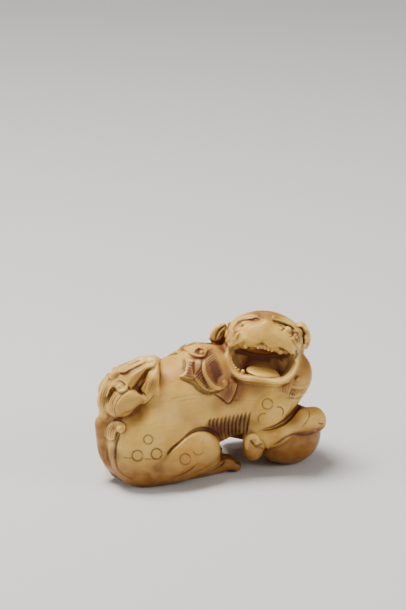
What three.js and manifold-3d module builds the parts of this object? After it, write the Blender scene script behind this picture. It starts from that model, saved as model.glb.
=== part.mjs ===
// A netsuke: a lion dog (shishi) lying down with its head turned over its right
// shoulder and its right forepaw on a ball, all carved from one block.
// Millimetres. +X runs from the rump to the chest, +Z is up, and the flank that
// the head is turned to faces -Y. The origin is on the ground under the middle.
import * as THREE from "three";
import { mergeVertices } from "three/addons/utils/BufferGeometryUtils.js";
import Module from "manifold-3d";

const wasm = await Module();
wasm.setup();

// Driving dimensions.
const HEAD_AT = [12.4, -3.6, 26.1];
const HEAD_TURN = 22; // degrees from facing -Y towards the tail
const HEAD_TILT = 20; // degrees that the face looks up
const HEAD_ROLL = -3; // degrees, so that its left ear is the lower one
const BALL_AT = [17.8, -4.4, 6.0];
const BALL_SIZE = [7.2, 6.3, 6.5];
const RIBS = { [-1]: 8, [1]: 3 }; // grooves on the near and the far flank
const RIBS_FROM = -1.4;
const RIBS_TO = 6.4;
const TAIL_AT = [-17.2, -0.8, 19];
const TAIL_TURN = 22; // degrees, so that its near side shows more
const CORD_HOLE = 3; // across
const CURL_GIRTH = [0.14, 0.32, 0.36, 0.28, 0.34]; // of a curl's size, along it

const NEAR = -1; // the flank that the head is turned to
const FAR = 1;
const SIDES = [NEAR, FAR];
const rad = THREE.MathUtils.degToRad;
const vec = (p) => new THREE.Vector3(...p);

// ---------------------------------------------------------------- soft masses

// How far a point is outside an ellipsoid, turned by degrees about X, Y, Z.
function mass(at, size, turn = [0, 0, 0]) {
  const spin = new THREE.Euler(...turn.map(rad), "XYZ");
  const back = new THREE.Matrix4().makeRotationFromEuler(spin);
  back.setPosition(...at).invert();
  const [a, b, c] = size;
  return (point) => {
    const p = point.clone().applyMatrix4(back);
    const once = Math.hypot(p.x / a, p.y / b, p.z / c);
    const twice = Math.hypot(p.x / (a * a), p.y / (b * b), p.z / (c * c));
    return twice > 0 ? (once * (once - 1)) / twice : -Math.min(a, b, c);
  };
}

// Masses that run together over `width` millimetres, as muscles do.
function blend(width, fields) {
  const join = (a, b) => {
    const h = Math.max(width - Math.abs(a - b), 0) / width;
    return Math.min(a, b) - (h * h * width) / 4;
  };
  return (point) => fields.map((field) => field(point)).reduce(join);
}

// Where a ray that comes in along `toward` first meets a field's skin.
function skin(field, from, toward) {
  const point = vec(from);
  const step = vec(toward).normalize();
  for (let i = 0; i < 60; i++) {
    point.addScaledVector(step, field(point) * 0.9);
  }
  return point;
}

// A fine ball of triangles, drawn in from outside until it lies on the field's skin.
function wrap(field, centre, detail, reach = 40) {
  const geometry = new THREE.IcosahedronGeometry(1, detail);
  const place = geometry.attributes.position;
  const way = new THREE.Vector3();
  for (let i = 0; i < place.count; i++) {
    way.fromBufferAttribute(place, i).normalize();
    const from = vec(centre).addScaledVector(way, reach);
    const spot = skin(field, from.toArray(), way.negate().toArray());
    place.setXYZ(i, spot.x, spot.y, spot.z);
  }
  return geometry;
}

// ---------------------------------------------------------------- solids

// A closed geometry as a solid that can be joined and cut.
function solid(geometry) {
  const bare = geometry.index ? geometry.toNonIndexed() : geometry.clone();
  for (const name of Object.keys(bare.attributes)) {
    if (name !== "position") bare.deleteAttribute(name);
  }
  const merged = mergeVertices(bare, 1e-4);
  return new wasm.Manifold(
    new wasm.Mesh({
      numProp: 3,
      vertProperties: merged.attributes.position.array,
      triVerts: new Uint32Array(merged.index.array),
    }),
  );
}

const join = (geometries) => wasm.Manifold.union(geometries.map(solid));

// An ellipsoid with its half sizes along its own axes, turned by degrees about X, Y, Z.
function egg(at, size, { turn = [0, 0, 0], sides = 7, rings = 6 } = {}) {
  const geometry = new THREE.SphereGeometry(1, sides, rings);
  geometry.scale(...size);
  const spin = new THREE.Euler(...turn.map(rad), "XYZ");
  geometry.applyMatrix4(new THREE.Matrix4().makeRotationFromEuler(spin));
  return geometry.translate(...at);
}

// The axis that a path crosses most squarely.
function acrossPath(path) {
  const chord = vec(path.at(-1)).sub(vec(path[0])).toArray().map(Math.abs);
  const least = chord.indexOf(Math.min(...chord));
  return [0, 1, 2].map((axis) => (axis === least ? 1 : 0));
}

// A round-ended horn that follows a smooth curve through `path`. `girth` gives its
// radius at even steps along it, and `flat` thins it across, towards `out`.
function horn(path, girth, { flat = 1, out = acrossPath(path), sides = 6, steps = 3, caps = 2 } = {}) {
  const curve = new THREE.CatmullRomCurve3(path.map(vec), false, "centripetal");
  const length = curve.getLength();
  const radiusAt = (t) => {
    const place = THREE.MathUtils.clamp(t, 0, 1) * (girth.length - 1);
    const i = Math.min(Math.floor(place), girth.length - 2);
    const part = THREE.MathUtils.smoothstep(place - i, 0, 1);
    return THREE.MathUtils.lerp(girth[i], girth[i + 1], part);
  };
  const quarter = (k) => (k / caps) * (Math.PI / 2);
  const profile = [];
  for (let k = 0; k < caps; k++) {
    profile.push([girth[0] * Math.sin(quarter(k)), -girth[0] * Math.cos(quarter(k))]);
  }
  for (let k = 0; k <= steps; k++) {
    profile.push([radiusAt(k / steps), (length * k) / steps]);
  }
  const last = girth[girth.length - 1];
  for (let k = caps - 1; k >= 0; k--) {
    profile.push([last * Math.sin(quarter(k)), length + last * Math.cos(quarter(k))]);
  }
  const points = profile.map(([r, y]) => new THREE.Vector2(r, y));
  return bend(new THREE.LatheGeometry(points, sides), curve, length, vec(out), flat);
}

// Moves a geometry that stands on +Y so that +Y follows the curve instead.
function bend(geometry, curve, length, out, flat) {
  const place = geometry.attributes.position;
  const p = new THREE.Vector3();
  for (let i = 0; i < place.count; i++) {
    p.fromBufferAttribute(place, i);
    const t = THREE.MathUtils.clamp(p.y / length, 0, 1);
    const along = curve.getTangentAt(t);
    const up = out.clone().addScaledVector(along, -out.dot(along)).normalize();
    const across = new THREE.Vector3().crossVectors(along, up);
    const spot = curve.getPointAt(t).addScaledVector(along, p.y - t * length);
    spot.addScaledVector(across, p.x).addScaledVector(up, p.z * flat);
    place.setXYZ(i, spot.x, spot.y, spot.z);
  }
  return geometry;
}

// ---------------------------------------------------------------- body

const bodyField = blend(3, [
  mass([-4, 0.2, 14.2], [17.4, 9.2, 10.4], [0, -5, 0]), // barrel
  mass([-14.0, 0, 11.4], [7.8, 9.0, 11.0]), // rump
  mass([-13.5, -5.7, 8.3], [8.8, 5.6, 9.0]), // near haunch
  mass([-11.4, 5.0, 8.4], [8.2, 5.6, 9.1]), // far haunch
  mass([12.6, 0, 15.4], [9.4, 7.6, 8.6]), // chest
  ...SIDES.map((side) => mass([9.5, side * 4.8, 14.5], [6.6, 3.6, 6.4])), // shoulders
  mass([13.0, -0.4, 19.8], [10.0, 8.0, 6.8]), // neck
  mass([1.4, -0.4, 20.6], [6.0, 7.8, 5.6]), // ruff of the mane
]);

function body() {
  return wrap(bodyField, [-1, 0, 13], 6);
}

// Thigh, shank and foot, with four toes.
function hindLeg(side) {
  const out = [0, side, 0];
  const forms = [
    horn(
      [[-12.5, side * 7.4, 6.0], [-8, side * 8.2, 6.2], [-4.1, side * 8.3, 6.0]],
      [4.4, 5.8, 4.7],
      { flat: 0.62, out, sides: 11 },
    ),
    egg([-1.4, side * 6.0, 4.2], [3.0, 3.0, 4.0]),
    horn(
      [[-12, side * 5.4, 1.4], [-5, side * 5.6, 1.4], [2.0, side * 5.0, 1.7]],
      [1.9, 2.2, 2.3],
      { flat: 0.85, sides: 8 },
    ),
  ];
  for (const [i, reach] of [3.6, 4.6, 4.8, 4.2].entries()) {
    const across = side * (3.2 + 1.2 * i);
    forms.push(egg([reach - 0.4, across, 1.8], [2.4, 0.75, 1.4], { turn: [0, 22, 0], sides: 6, rings: 4 }));
  }
  return forms;
}

// Upper arm, forearm and paw laid over the ball, and the curled tuft at the elbow.
function nearForeleg() {
  const upperArm = [[16, -5.0, 17.6], [12.8, -6.8, 13.6], [9.6, -8.2, 9.6]];
  return [
    horn(upperArm, [5.4, 5.0, 3.4], { flat: 0.58, out: [0, NEAR, 0], sides: 10 }),
    horn([[9.9, -9.2, 7.9], [14, -9.4, 8.2], [19.3, -8.2, 9.1]], [2.9, 2.7, 2.2], { sides: 10 }),
    horn([[20.5, -7.8, 9.2], [23.4, -6.8, 9.3]], [2.5, 2.6], { sides: 9, steps: 1, caps: 3 }),
    ...[0, 1, 2].map((i) => egg([24.6, -8.6 + 1.8 * i, 8.6], [1.6, 1.0, 1.9], { sides: 6, rings: 4 })),
    egg([8.6, -8.2, 5.9], [2.8, 2.4, 2.9]),
    egg([7.9, -9.9, 7.5], [1.2, 0.8, 1.1], { sides: 8, rings: 6 }),
  ];
}

function farForeleg() {
  const upperArm = [[14, 5.0, 15.5], [11.5, 6.8, 12.5], [9.4, 7.8, 8.5]];
  return [
    horn(upperArm, [5.2, 4.8, 3.2], { flat: 0.6, out: [0, FAR, 0], sides: 10 }),
    horn([[9.2, 8.0, 5.6], [14, 7.4, 3.6], [19, 4.8, 2.6]], [3.1, 2.7, 2.3], { sides: 9 }),
    horn([[20, 4.4, 2.3], [22.6, 2.4, 2.3]], [2.5, 2.5], { sides: 9, steps: 1 }),
    ...[0, 1, 2].map((i) =>
      egg([23 + i * 0.4, 0.4 + i * 1.7, 2.2], [1.4, 1.0, 1.6], { sides: 6, rings: 4 }),
    ),
  ];
}

function ball() {
  return egg(BALL_AT, BALL_SIZE, { sides: 15, rings: 9 });
}

// Ribs show as upright grooves between the thigh and the upper arm.
function ribGrooves(side) {
  return Array.from({ length: RIBS[side] }, (_, i) => {
    const x = RIBS_FROM + (i * (RIBS_TO - RIBS_FROM)) / (RIBS[side] - 1);
    const path = [13.4, 11.6, 9.6, 7.6].map((z) => {
      return skin(bodyField, [x + 0.06 * z - 0.4, side * 14, z], [0, -side, 0]).toArray();
    });
    return horn(path, [0.2, 0.45, 0.45, 0.3], { sides: 3, steps: 2, caps: 1 });
  });
}

// ---------------------------------------------------------------- tail

const tailField = blend(2, [
  mass([-0.8, 0, -0.8], [4.8, 5.8, 5.4]),
  mass([1.4, 0, 3.0], [4.6, 3.8, 4.2]),
  mass([3.6, 0, 5.2], [2.6, 1.6, 2.4], [0, 40, 0]),
]);

// A bushy tail laid forward over the rump, with scrolled locks on both sides.
function tail() {
  const place = new THREE.Matrix4().makeRotationZ(rad(-TAIL_TURN)).setPosition(...TAIL_AT);
  const forms = [wrap(tailField, [0, 0, 0], 3)];
  for (const side of SIDES) {
    const lobe = [[-1.8, side * 5.2, -1.6], [-0.2, side * 5.6, 0.2], [3.4, side * 5.0, 0]];
    forms.push(
      // the smooth lobe
      horn(lobe, [2.3, 2.5, 1.1], { sides: 8 }),
      // the flame lock that rises from the lobe's end to the tip
      horn([[3.7, side * 5.2, -0.2], [5.3, side * 4.0, 3.6], [6.0, side * 1.4, 6.8]], [1.3, 1.6, 0.8]),
      // the band along the top
      horn([[-3.0, side * 2.4, 4.4], [1.0, side * 1.6, 6.3], [5.0, side * 0.6, 7.6]], [1.2, 1.3, 0.7]),
      // the scroll on the outside
      horn([[-4.0, side * 3.2, -3.6], [-4.4, side * 3.0, 0], [-3.6, side * 3.4, 3.0]], [1.3, 1.8, 1.4]),
    );
  }
  // the middle lock and the knob, which only the near side has
  forms.push(horn([[0.8, -3.9, 3.6], [2.8, -3.0, 5.4], [4.9, -1.6, 7.2]], [1.7, 1.4, 0.6]));
  forms.push(egg([-1.7, -4.9, 3.7], [1.5, 1.2, 1.4]));
  return forms.map((geometry) => geometry.applyMatrix4(place)).concat([
    // the root, which runs down between the haunches
    horn([[-18.4, -1.5, 1.9], [-20.6, -1.5, 6.5], [-21.0, -1.5, 12.5]], [1.4, 2.1, 2.3]),
    egg([-20.4, -5.2, 13.2], [1.5, 1.2, 1.6], { sides: 8, rings: 6 }),
    egg([-19.9, -6.2, 11.9], [1.0, 0.9, 1.0], { sides: 8, rings: 6 }),
  ]);
}

// ---------------------------------------------------------------- head

// The head's own frame has X to the viewer's right, Y up and Z out of the face.
const headPlace = new THREE.Matrix4()
  .makeTranslation(...HEAD_AT)
  .multiply(new THREE.Matrix4().makeRotationX(Math.PI / 2))
  .multiply(
    new THREE.Matrix4().makeRotationFromEuler(
      new THREE.Euler(rad(-HEAD_TILT), rad(-HEAD_TURN), rad(HEAD_ROLL), "YXZ"),
    ),
  );
const onHead = (geometries) => geometries.map((geometry) => geometry.applyMatrix4(headPlace));

const skullField = blend(1.5, [
  mass([0, 1.4, -1.8], [8.3, 6.0, 7.0]), // skull
  mass([0, -3.0, -1.2], [7.7, 4.9, 7.0]), // jaw
  ...SIDES.map((side) => mass([side * 5.9, 1.4, 2.6], [2.2, 2.2, 2.2])), // cheeks
]);

const muzzleField = blend(1, [
  mass([0, 3.2, 4.2], [2.3, 2.5, 2.8]), // bridge
  mass([-2.5, 1.9, 4.6], [2.6, 2.1, 2.9]),
  mass([2.5, 1.4, 4.6], [2.9, 2.1, 2.9]),
]);

function mouth() {
  return onHead([egg([0.1, -3.1, 6.6], [6.5, 3.8, 7.4], { sides: 14, rings: 8 })]);
}

// A point on the lower lip, which rounds the open mouth and comes forward at the chin.
function jawRim(angle) {
  const down = -Math.sin(rad(angle));
  return [7.3 * Math.cos(rad(angle)), -0.2 - 7.2 * down, 2.4 + 3.6 * down];
}

// Muzzle, lips, teeth and tongue.
function jaws() {
  const teeth = [-1.3, -0.45, 0.45, 1.3].map((x) =>
    egg([x, -0.4, 5.7], [0.45, 1.0, 0.45], { sides: 4, rings: 4 }),
  );
  return [
    wrap(muzzleField, [0, 1.9, 4.2], 3),
    ...teeth,
    egg([-3.6, -0.2, 5.4], [0.6, 1.3, 0.6], { sides: 6, rings: 4 }),
    egg([3.6, -0.8, 5.4], [0.6, 1.3, 0.6], { sides: 6, rings: 4 }),
    egg([0.4, -5.9, 3.4], [4.0, 1.4, 4.0], { turn: [-12, 0, 0] }),
    horn([[-3.6, 1.2, 5.8], [-6.2, 0.7, 4.4], [-7.4, -0.6, 2.6]], [1.1, 0.9, 0.8], { sides: 6 }),
    horn([[4.0, 0.6, 5.8], [6.2, 0.2, 4.4], [7.3, -0.8, 2.6]], [1.1, 0.9, 0.8], { sides: 6 }),
    horn(
      [-172, -150, -122, -95, -68, -44, -22, -8].map(jawRim),
      [0.8, 0.9, 0.9, 0.8, 0.9, 0.9, 0.8],
      { sides: 5, steps: 9 },
    ),
  ];
}

// Brow, eye and ear of one side.
function browAndEar(side) {
  const droop = side < 0 ? 1 : 0.9;
  const ear = [[side * 7.2, 3.4, -1.0], [side * 9.2 * droop, 2.4, -0.6], [side * 9.9 * droop, 1.0, 0]];
  const brow = [[side * 1.4, 6.0, 3.2], [side * 4.2, 5.6, 2.9], [side * 7.2, 4.2, 0.6]];
  return [
    horn(brow, [0.6, 0.9, 0.9]),
    egg([side * 4.4, 3.9, 3.5], [1.4, 0.9, 0.8], { sides: 7, rings: 4 }),
    horn(ear, [1.3, 1.6, 1.0], { flat: 0.5 }),
  ];
}

function head() {
  const forms = [wrap(skullField, [0, -0.5, -1.5], 4)];
  return onHead(forms);
}

function face() {
  return onHead([...jaws(), ...SIDES.flatMap(browAndEar)]);
}

// ---------------------------------------------------------------- mane

// A scrolled lock: a crescent whose end turns in to a bead. It sits on a field's
// skin near `at` and faces `out`; `up` is the way its open end points.
function curl(field, { at, out, up = [0, 0, 1], size, hand = 1 }) {
  const z = vec(out).normalize();
  const x = new THREE.Vector3().crossVectors(vec(up), z).normalize().multiplyScalar(hand);
  const y = new THREE.Vector3().crossVectors(z, x).multiplyScalar(hand);
  const seat = skin(field, vec(at).addScaledVector(z, 12).toArray(), z.clone().negate().toArray());
  const turns = [110, 160, 210, 260, 310, 365, 420];
  const path = turns.map((angle, i) => {
    const reach = size * Math.min(1, 1.75 - 0.2 * i);
    return seat
      .clone()
      .addScaledVector(x, reach * Math.cos(rad(angle)))
      .addScaledVector(y, reach * Math.sin(rad(angle)))
      .toArray();
  });
  const girths = CURL_GIRTH.map((r) => r * size);
  return horn(path, girths, { flat: 0.9, sides: 5, steps: 8, caps: 1, out: z.toArray() });
}

function mane() {
  const forms = SIDES.flatMap((side) => {
    const crest = { at: [-2.2, side * 3.6, 25.6], out: [-0.25, side * 0.45, 0.85], up: [1, 0, 0.4] };
    const cheek = { at: [0.6, side * 7.2, 22.8], out: [-0.2, side * 0.85, 0.45] };
    const front = { at: [19.6, side * 6, 18.6], out: [0.5, side * 0.87, 0] };
    return [
      curl(bodyField, { ...crest, size: 2.3, hand: -side }),
      curl(bodyField, { ...cheek, size: 3.3, hand: -side }),
      curl(bodyField, { ...front, size: 2.3, hand: side }),
    ];
  });
  forms.push(curl(bodyField, { at: [9, 6, 21.6], out: [0.1, 0.9, 0.4], size: 3.4, hand: -1 }));
  forms.push(curl(bodyField, { at: [22, 0.4, 18.4], out: [1, 0, 0], size: 2.8 }));
  return forms;
}

// The curls at the back of the head.
function nape() {
  const forms = [[-5, -5.5], [1, -7.5]].map(([x, z]) =>
    curl(skullField, { at: [x, 2.2, z], out: [x, 2, z], up: [0, 1, 0], size: 2.6 }),
  );
  return onHead(forms);
}

// ---------------------------------------------------------------- the carving

const blank = join([
  body(),
  ...SIDES.flatMap(hindLeg),
  ...nearForeleg(),
  ...farForeleg(),
  ball(),
  ...tail(),
  ...mane(),
  ...head(),
  ...nape(),
]);
const cuts = join([...mouth(), ...SIDES.flatMap(ribGrooves), cordHoles(), ground()]);
const pieces = blank.subtract(cuts).add(join(face())).decompose();
const carved = pieces.sort((a, b) => b.volume() - a.volume())[0];

// Two round holes in the far flank, joined inside, for the cord.
function cordHoles() {
  const path = [[-7, 12, 12], [-5.6, 8, 12], [-2, 6, 12], [1.6, 8, 12], [3, 12, 12]];
  return horn(path, [CORD_HOLE / 2, CORD_HOLE / 2], { sides: 9, steps: 6, caps: 1 });
}

// Everything below the ground, where the carving is rubbed flat.
function ground() {
  return new THREE.BoxGeometry(80, 60, 10).translate(0, 0, -5);
}

const box = carved.boundingBox();
const middle = [0, 1].map((axis) => (box.min[axis] + box.max[axis]) / 2);
const shape = carved.translate([-middle[0], -middle[1], 0]).getMesh();
const geometry = new THREE.BufferGeometry();
geometry.setAttribute("position", new THREE.BufferAttribute(shape.vertProperties, 3));
geometry.setIndex(new THREE.BufferAttribute(shape.triVerts, 1));
geometry.computeVertexNormals();
const ivory = new THREE.MeshStandardMaterial({ color: 0xd9b679, roughness: 0.35, metalness: 0 });
const netsuke = new THREE.Mesh(geometry, ivory);
netsuke.name = "netsuke";

const group = new THREE.Group();
group.add(netsuke);
export default group;
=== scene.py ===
# %% [markdown]
# # A carved ivory netsuke
# A netsuke is a toggle that held a pouch's cord over a sash. This one is a lion-dog that
# lies on its folded haunches, with its head turned to us, its mouth open and a paw on a
# ball. It was cut from one block of ivory, so it is one piece here too. The frame gives
# that piece as a faceted solid, which sets its size and place, and this lesson carves the
# fine surface in the same space. We start by loading the frame and keeping its box.

# %% Load the frame
import itertools
import math

import bpy
import numpy as np
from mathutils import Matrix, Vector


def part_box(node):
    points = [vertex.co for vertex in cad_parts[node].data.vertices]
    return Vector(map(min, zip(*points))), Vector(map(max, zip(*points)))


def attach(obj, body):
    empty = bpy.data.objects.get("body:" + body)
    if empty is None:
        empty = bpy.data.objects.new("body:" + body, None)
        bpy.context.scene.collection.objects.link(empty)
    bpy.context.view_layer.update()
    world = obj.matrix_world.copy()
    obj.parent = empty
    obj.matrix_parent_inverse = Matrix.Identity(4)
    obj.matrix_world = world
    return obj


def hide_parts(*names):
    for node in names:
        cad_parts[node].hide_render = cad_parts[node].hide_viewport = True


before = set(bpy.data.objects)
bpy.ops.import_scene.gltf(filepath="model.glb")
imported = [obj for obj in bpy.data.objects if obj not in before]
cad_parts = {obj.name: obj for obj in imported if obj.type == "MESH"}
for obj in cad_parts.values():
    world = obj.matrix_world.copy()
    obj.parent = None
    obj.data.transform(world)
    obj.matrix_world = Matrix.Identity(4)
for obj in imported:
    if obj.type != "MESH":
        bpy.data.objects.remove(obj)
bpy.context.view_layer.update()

import openvdb
from mathutils import Euler, Matrix, Vector

# %% [markdown]
# Blender works in metres, and a carver thinks in millimetres. The carving below is all in
# millimetres, in its own frame: X runs from the rump to the chest, Z is up, and the flank
# that the head is turned to, the near one, faces -Y. Its origin lies a known way in from
# the low corner of the solid's box, so wherever the frame puts the solid, the carving
# follows.

# %% The carving's own frame
MM = 0.001
RUMP_REACH = 24.01  # from the carving's origin back to the rump's end
NEAR_REACH = 12.56  # and out to the near paw

node_low, node_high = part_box("netsuke")
origin = node_low + Vector((RUMP_REACH, NEAR_REACH, 0)) * MM
size_mm = np.array(node_high - node_low) / MM
NEAR, FAR = -1, 1
SIDES = (NEAR, FAR)
WORLD = Matrix.Identity(4)
print("origin in the frame, mm:", [round(value / MM, 2) for value in origin])

# %% [markdown]
# Carved ivory has no edges that a modeller would draw one by one. Muscles, locks and lips
# all run into each other, then fine lines are cut in. That is awkward to do with
# polygons, and easy with distances: fill space with a grid in which every cell says how
# far it is from the surface, minus inside. Two forms join by taking the smaller distance,
# a cut takes the larger, and a groove just adds a little to the cells along a line. The
# surface is wherever the distance is zero, and it is turned into a mesh once, at the end.

# %% Melting forms together
def melt(a, b, width):
    """The smaller of two distances, with the crease between them filled over `width`."""
    close = np.maximum(width - np.abs(a - b), 0) / width
    return np.minimum(a, b) - close * close * width / 4


print("two walls, each 0.5 mm away, melted over 1 mm:", melt(0.5, 0.5, 1), "mm")

# %% [markdown]
# The grid can also be asked questions. `window` finds the cells of a box, `sample` reads
# the distance at any point, `slope` says which way is straight out of the surface, and
# `skin` sends points in along a line until they meet it.

# %% A grid of distances
CELL = 0.16  # one cell of the grid
REACH = 2.0  # distances further from the surface than this aren't needed
SKIN_STEPS = 60  # enough to come in to the surface from anywhere
SKIN_STRIDE = 0.8  # share of the distance that one step dares


class Grid:
    """Distances to a surface, one in each cell of a box."""

    def __init__(self, low, high):
        self.low = np.array(low, float)
        count = np.ceil((np.array(high) - self.low) / CELL).astype(int) + 1
        self.value = np.full(count, REACH, np.float32)

    def window(self, low, high):
        """The cells of a box, and the coordinates of their middles."""
        count = np.array(self.value.shape)
        start = np.clip(np.floor((low - self.low) / CELL).astype(int), 0, count)
        stop = np.clip(np.ceil((high - self.low) / CELL).astype(int) + 1, 0, count)
        cells = tuple(slice(a, b) for a, b in zip(start, stop))
        axes = [self.low[i] + CELL * np.arange(start[i], stop[i]) for i in range(3)]
        grids = np.meshgrid(*axes, indexing="ij", sparse=True)
        return cells, [g.astype(np.float32) for g in grids]

    def sample(self, points, values=None):
        """The distance at any points, read between the cells."""
        values = self.value if values is None else values
        spot = (points - self.low) / CELL
        spot = np.clip(spot, 0, np.array(values.shape) - 1.001)
        base = spot.astype(int)
        part = spot - base
        total = np.zeros(len(points))
        for corner in itertools.product((0, 1), repeat=3):
            weight = np.prod(np.where(corner, part, 1 - part), axis=1)
            total += weight * values[tuple((base + corner).T)]
        return total

    def slope(self, points):
        """The way straight out of the surface at any points."""
        ways = CELL * np.eye(3)
        rise = [self.sample(points + way) - self.sample(points - way) for way in ways]
        rise = np.stack(rise, axis=1)
        return rise / np.maximum(np.linalg.norm(rise, axis=1, keepdims=True), 1e-9)

    def skin(self, points, toward):
        """Where lines that come in along `toward` first meet the surface."""
        points = np.array(points, float)
        for _ in range(SKIN_STEPS):
            points = points + np.array(toward) * self.sample(points)[:, None] * SKIN_STRIDE
        return points


print("cells along 10 mm:", Grid((0, 0, 0), (10, 1, 1)).value.shape[0])

# %% [markdown]
# The block of ivory is such a grid that can be carved. It keeps the incised lines aside
# at first, so that lines which cross don't cut twice as deep, and it remembers how dark
# the stain in them is.

# %% The block of ivory
MARGIN = 2.5  # room around the solid's box
FAINTEST = 0.15  # what is left of a line at its very ends
INK_SPREAD = 1.4  # ink fills more of a groove than its deepest part


class Block(Grid):
    """A grid that forms are added to and cut from, and lines incised in."""

    def __init__(self, low, high):
        super().__init__(low, high)
        self.line = np.zeros_like(self.value)  # how deep incised lines go
        self.ink = np.zeros_like(self.value)  # and how dark the stain in them is

    def add(self, form, width):
        cells, spot = self.window(form.low - REACH, form.high + REACH)
        self.value[cells] = melt(self.value[cells], form.distance(*spot), width)

    def cut(self, form, width):
        cells, spot = self.window(form.low - REACH, form.high + REACH)
        self.value[cells] = -melt(-self.value[cells], form.distance(*spot), width)

    def incise(self, spine, width, depth, ink, taper):
        """Cut a line of this half width, which fades in and out at its ends."""
        stops = np.linspace(0, 1, len(spine))
        ease = np.minimum(stops, 1 - stops) / max(taper, 1e-3)
        ease = np.clip(ease, FAINTEST, 1) ** 0.5
        for a, b, start, end in zip(spine[:-1], spine[1:], ease[:-1], ease[1:]):
            low, high = np.minimum(a, b) - width, np.maximum(a, b) + width
            cells, (x, y, z) = self.window(low, high)
            way = b - a
            t = (x - a[0]) * way[0] + (y - a[1]) * way[1] + (z - a[2]) * way[2]
            t = np.clip(t / max(way @ way, 1e-9), 0, 1)
            off = (x - a[0] - t * way[0]) ** 2 + (y - a[1] - t * way[1]) ** 2
            off = off + (z - a[2] - t * way[2]) ** 2
            strength = start + t * (end - start)
            near = np.maximum(1 - off / (width * strength) ** 2, 0)
            self.line[cells] = np.maximum(self.line[cells], depth * strength * near**2)
            self.ink[cells] = np.maximum(self.ink[cells], ink * np.minimum(near * INK_SPREAD, 1))

    def settle(self):
        """Take the incised lines out of the block, before more is laid over them."""
        self.value += self.line
        self.line[:] = 0


corner = np.array((-RUMP_REACH, -NEAR_REACH, 0))
block = Block(corner - MARGIN, corner + size_mm + MARGIN)
print("grid:", block.value.shape, "cells of", CELL, "mm")

# %% [markdown]
# Two kinds of form build everything. An egg is an ellipsoid, for masses of muscle, eyes
# and beads. Its distance is an estimate that is right at the surface and good near it,
# which is all that carving needs.

# %% Eggs
class Form:
    """A shape: the distance to its surface, and the box that it fills."""

    def __init__(self, distance, low, high):
        self.distance = distance
        self.low = low
        self.high = high


def egg(at, size, turn=(0, 0, 0), place=WORLD):
    """An ellipsoid with these half sizes, turned by degrees about X, Y and Z."""
    spin = Euler([math.radians(angle) for angle in turn]).to_matrix().to_4x4()
    matrix = place @ Matrix.Translation(at) @ spin
    back = np.array(matrix.inverted(), np.float32)
    middle = np.array(matrix.translation)
    reach = np.abs(np.array(matrix)[:3, :3]) @ np.array(size)

    def distance(x, y, z):
        once = twice = 0
        for row, half in zip(back[:3], size):
            along = row[0] * x + row[1] * y + row[2] * z + row[3]
            once = once + (along / half) ** 2
            twice = twice + (along / half**2) ** 2
        once = np.sqrt(once)
        return once * (once - 1) / np.sqrt(np.maximum(twice, 1e-6))

    return Form(distance, middle - reach, middle + reach)


bean = egg((0, 0, 0), (4, 3, 2))
print("1 mm outside an egg, along its axes:", bean.distance(*np.diag((5, 4, 3))).round(2))

# %% [markdown]
# Everything long follows a smooth curve. It is a Catmull-Rom spline, which passes through
# the points that it is given, so those points say where the form really lies.

# %% Curves
def curve(path, step):
    """Points at even steps along a smooth curve through `path`."""
    path = np.array(path, float)
    p = np.concatenate([[2 * path[0] - path[1]], path, [2 * path[-1] - path[-2]]])
    gap = np.sqrt(np.maximum(np.linalg.norm(np.diff(p, axis=0), axis=1), 1e-6))
    t = np.linspace(0, 1, 12, endpoint=False)[:, None]
    dense = []
    for i in range(1, len(p) - 2):
        before, here, after = gap[i - 1:i + 2]
        chord = p[i + 1] - p[i]
        leave = (p[i] - p[i - 1]) / before - (p[i + 1] - p[i - 1]) / (before + here)
        arrive = (p[i + 2] - p[i + 1]) / after - (p[i + 2] - p[i]) / (here + after)
        leave = here * leave + chord
        arrive = here * arrive + chord
        bend = (2 * t**3 - 3 * t**2) * -chord
        dense.append(p[i] + bend + (t**3 - 2 * t**2 + t) * leave + (t**3 - t**2) * arrive)
    dense = np.concatenate(dense + [path[-1:]])
    gone = np.linalg.norm(np.diff(dense, axis=0), axis=1).cumsum()
    gone = np.concatenate([[0], gone])
    stops = np.linspace(0, gone[-1], max(2, math.ceil(gone[-1] / step) + 1))
    return np.stack([np.interp(stops, gone, column) for column in dense.T], axis=1)


def thickness(girth, count):
    """Radii at `count` even steps, easing from each of `girth` to the next."""
    spot = np.linspace(0, len(girth) - 1, count)
    base = np.minimum(spot.astype(int), len(girth) - 2)
    part = spot - base
    part = part * part * (3 - 2 * part)
    girth = np.array(girth, float)
    return girth[base] + (girth[base + 1] - girth[base]) * part


bow = curve([(0, 0), (4, 2), (8, 0)], 0.5)
print("a curve through 3 points, in steps of 0.5 mm:", len(bow), "points")

# %% [markdown]
# A roll is a round rod of changing thickness along such a curve, for limbs, lips, brows
# and locks of hair. It can be flattened in one direction, as a thigh is against a flank.

# %% Rolls
def along(spine, radius, flat, out, x, y, z):
    """How far points are from a rod of these radii along a line."""
    best = None
    for a, b, start, end in zip(spine[:-1], spine[1:], radius[:-1], radius[1:]):
        way = b - a
        px, py, pz = x - a[0], y - a[1], z - a[2]
        t = (px * way[0] + py * way[1] + pz * way[2]) / max(way @ way, 1e-9)
        t = np.clip(t, 0, 1)
        dx, dy, dz = px - t * way[0], py - t * way[1], pz - t * way[2]
        square = dx * dx + dy * dy + dz * dz
        if flat != 1:
            height = dx * out[0] + dy * out[1] + dz * out[2]
            square = square + height * height * (1 / flat**2 - 1)
        reach = np.sqrt(square) - (start + t * (end - start))
        best = reach if best is None else np.minimum(best, reach)
    return best


def rod(spine, girth, flat=1, out=(0, 0, 1)):
    """A round rod along a line of points, thinned to `flat` of its girth towards `out`."""
    radius = thickness(girth, len(spine))
    spine = np.array(spine, np.float32)
    out = np.array(out, np.float32) / np.linalg.norm(out)

    def distance(x, y, z):
        return along(spine, radius, flat, out, x, y, z) * (1 + flat) / 2

    return Form(distance, spine.min(0) - max(girth), spine.max(0) + max(girth))


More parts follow.
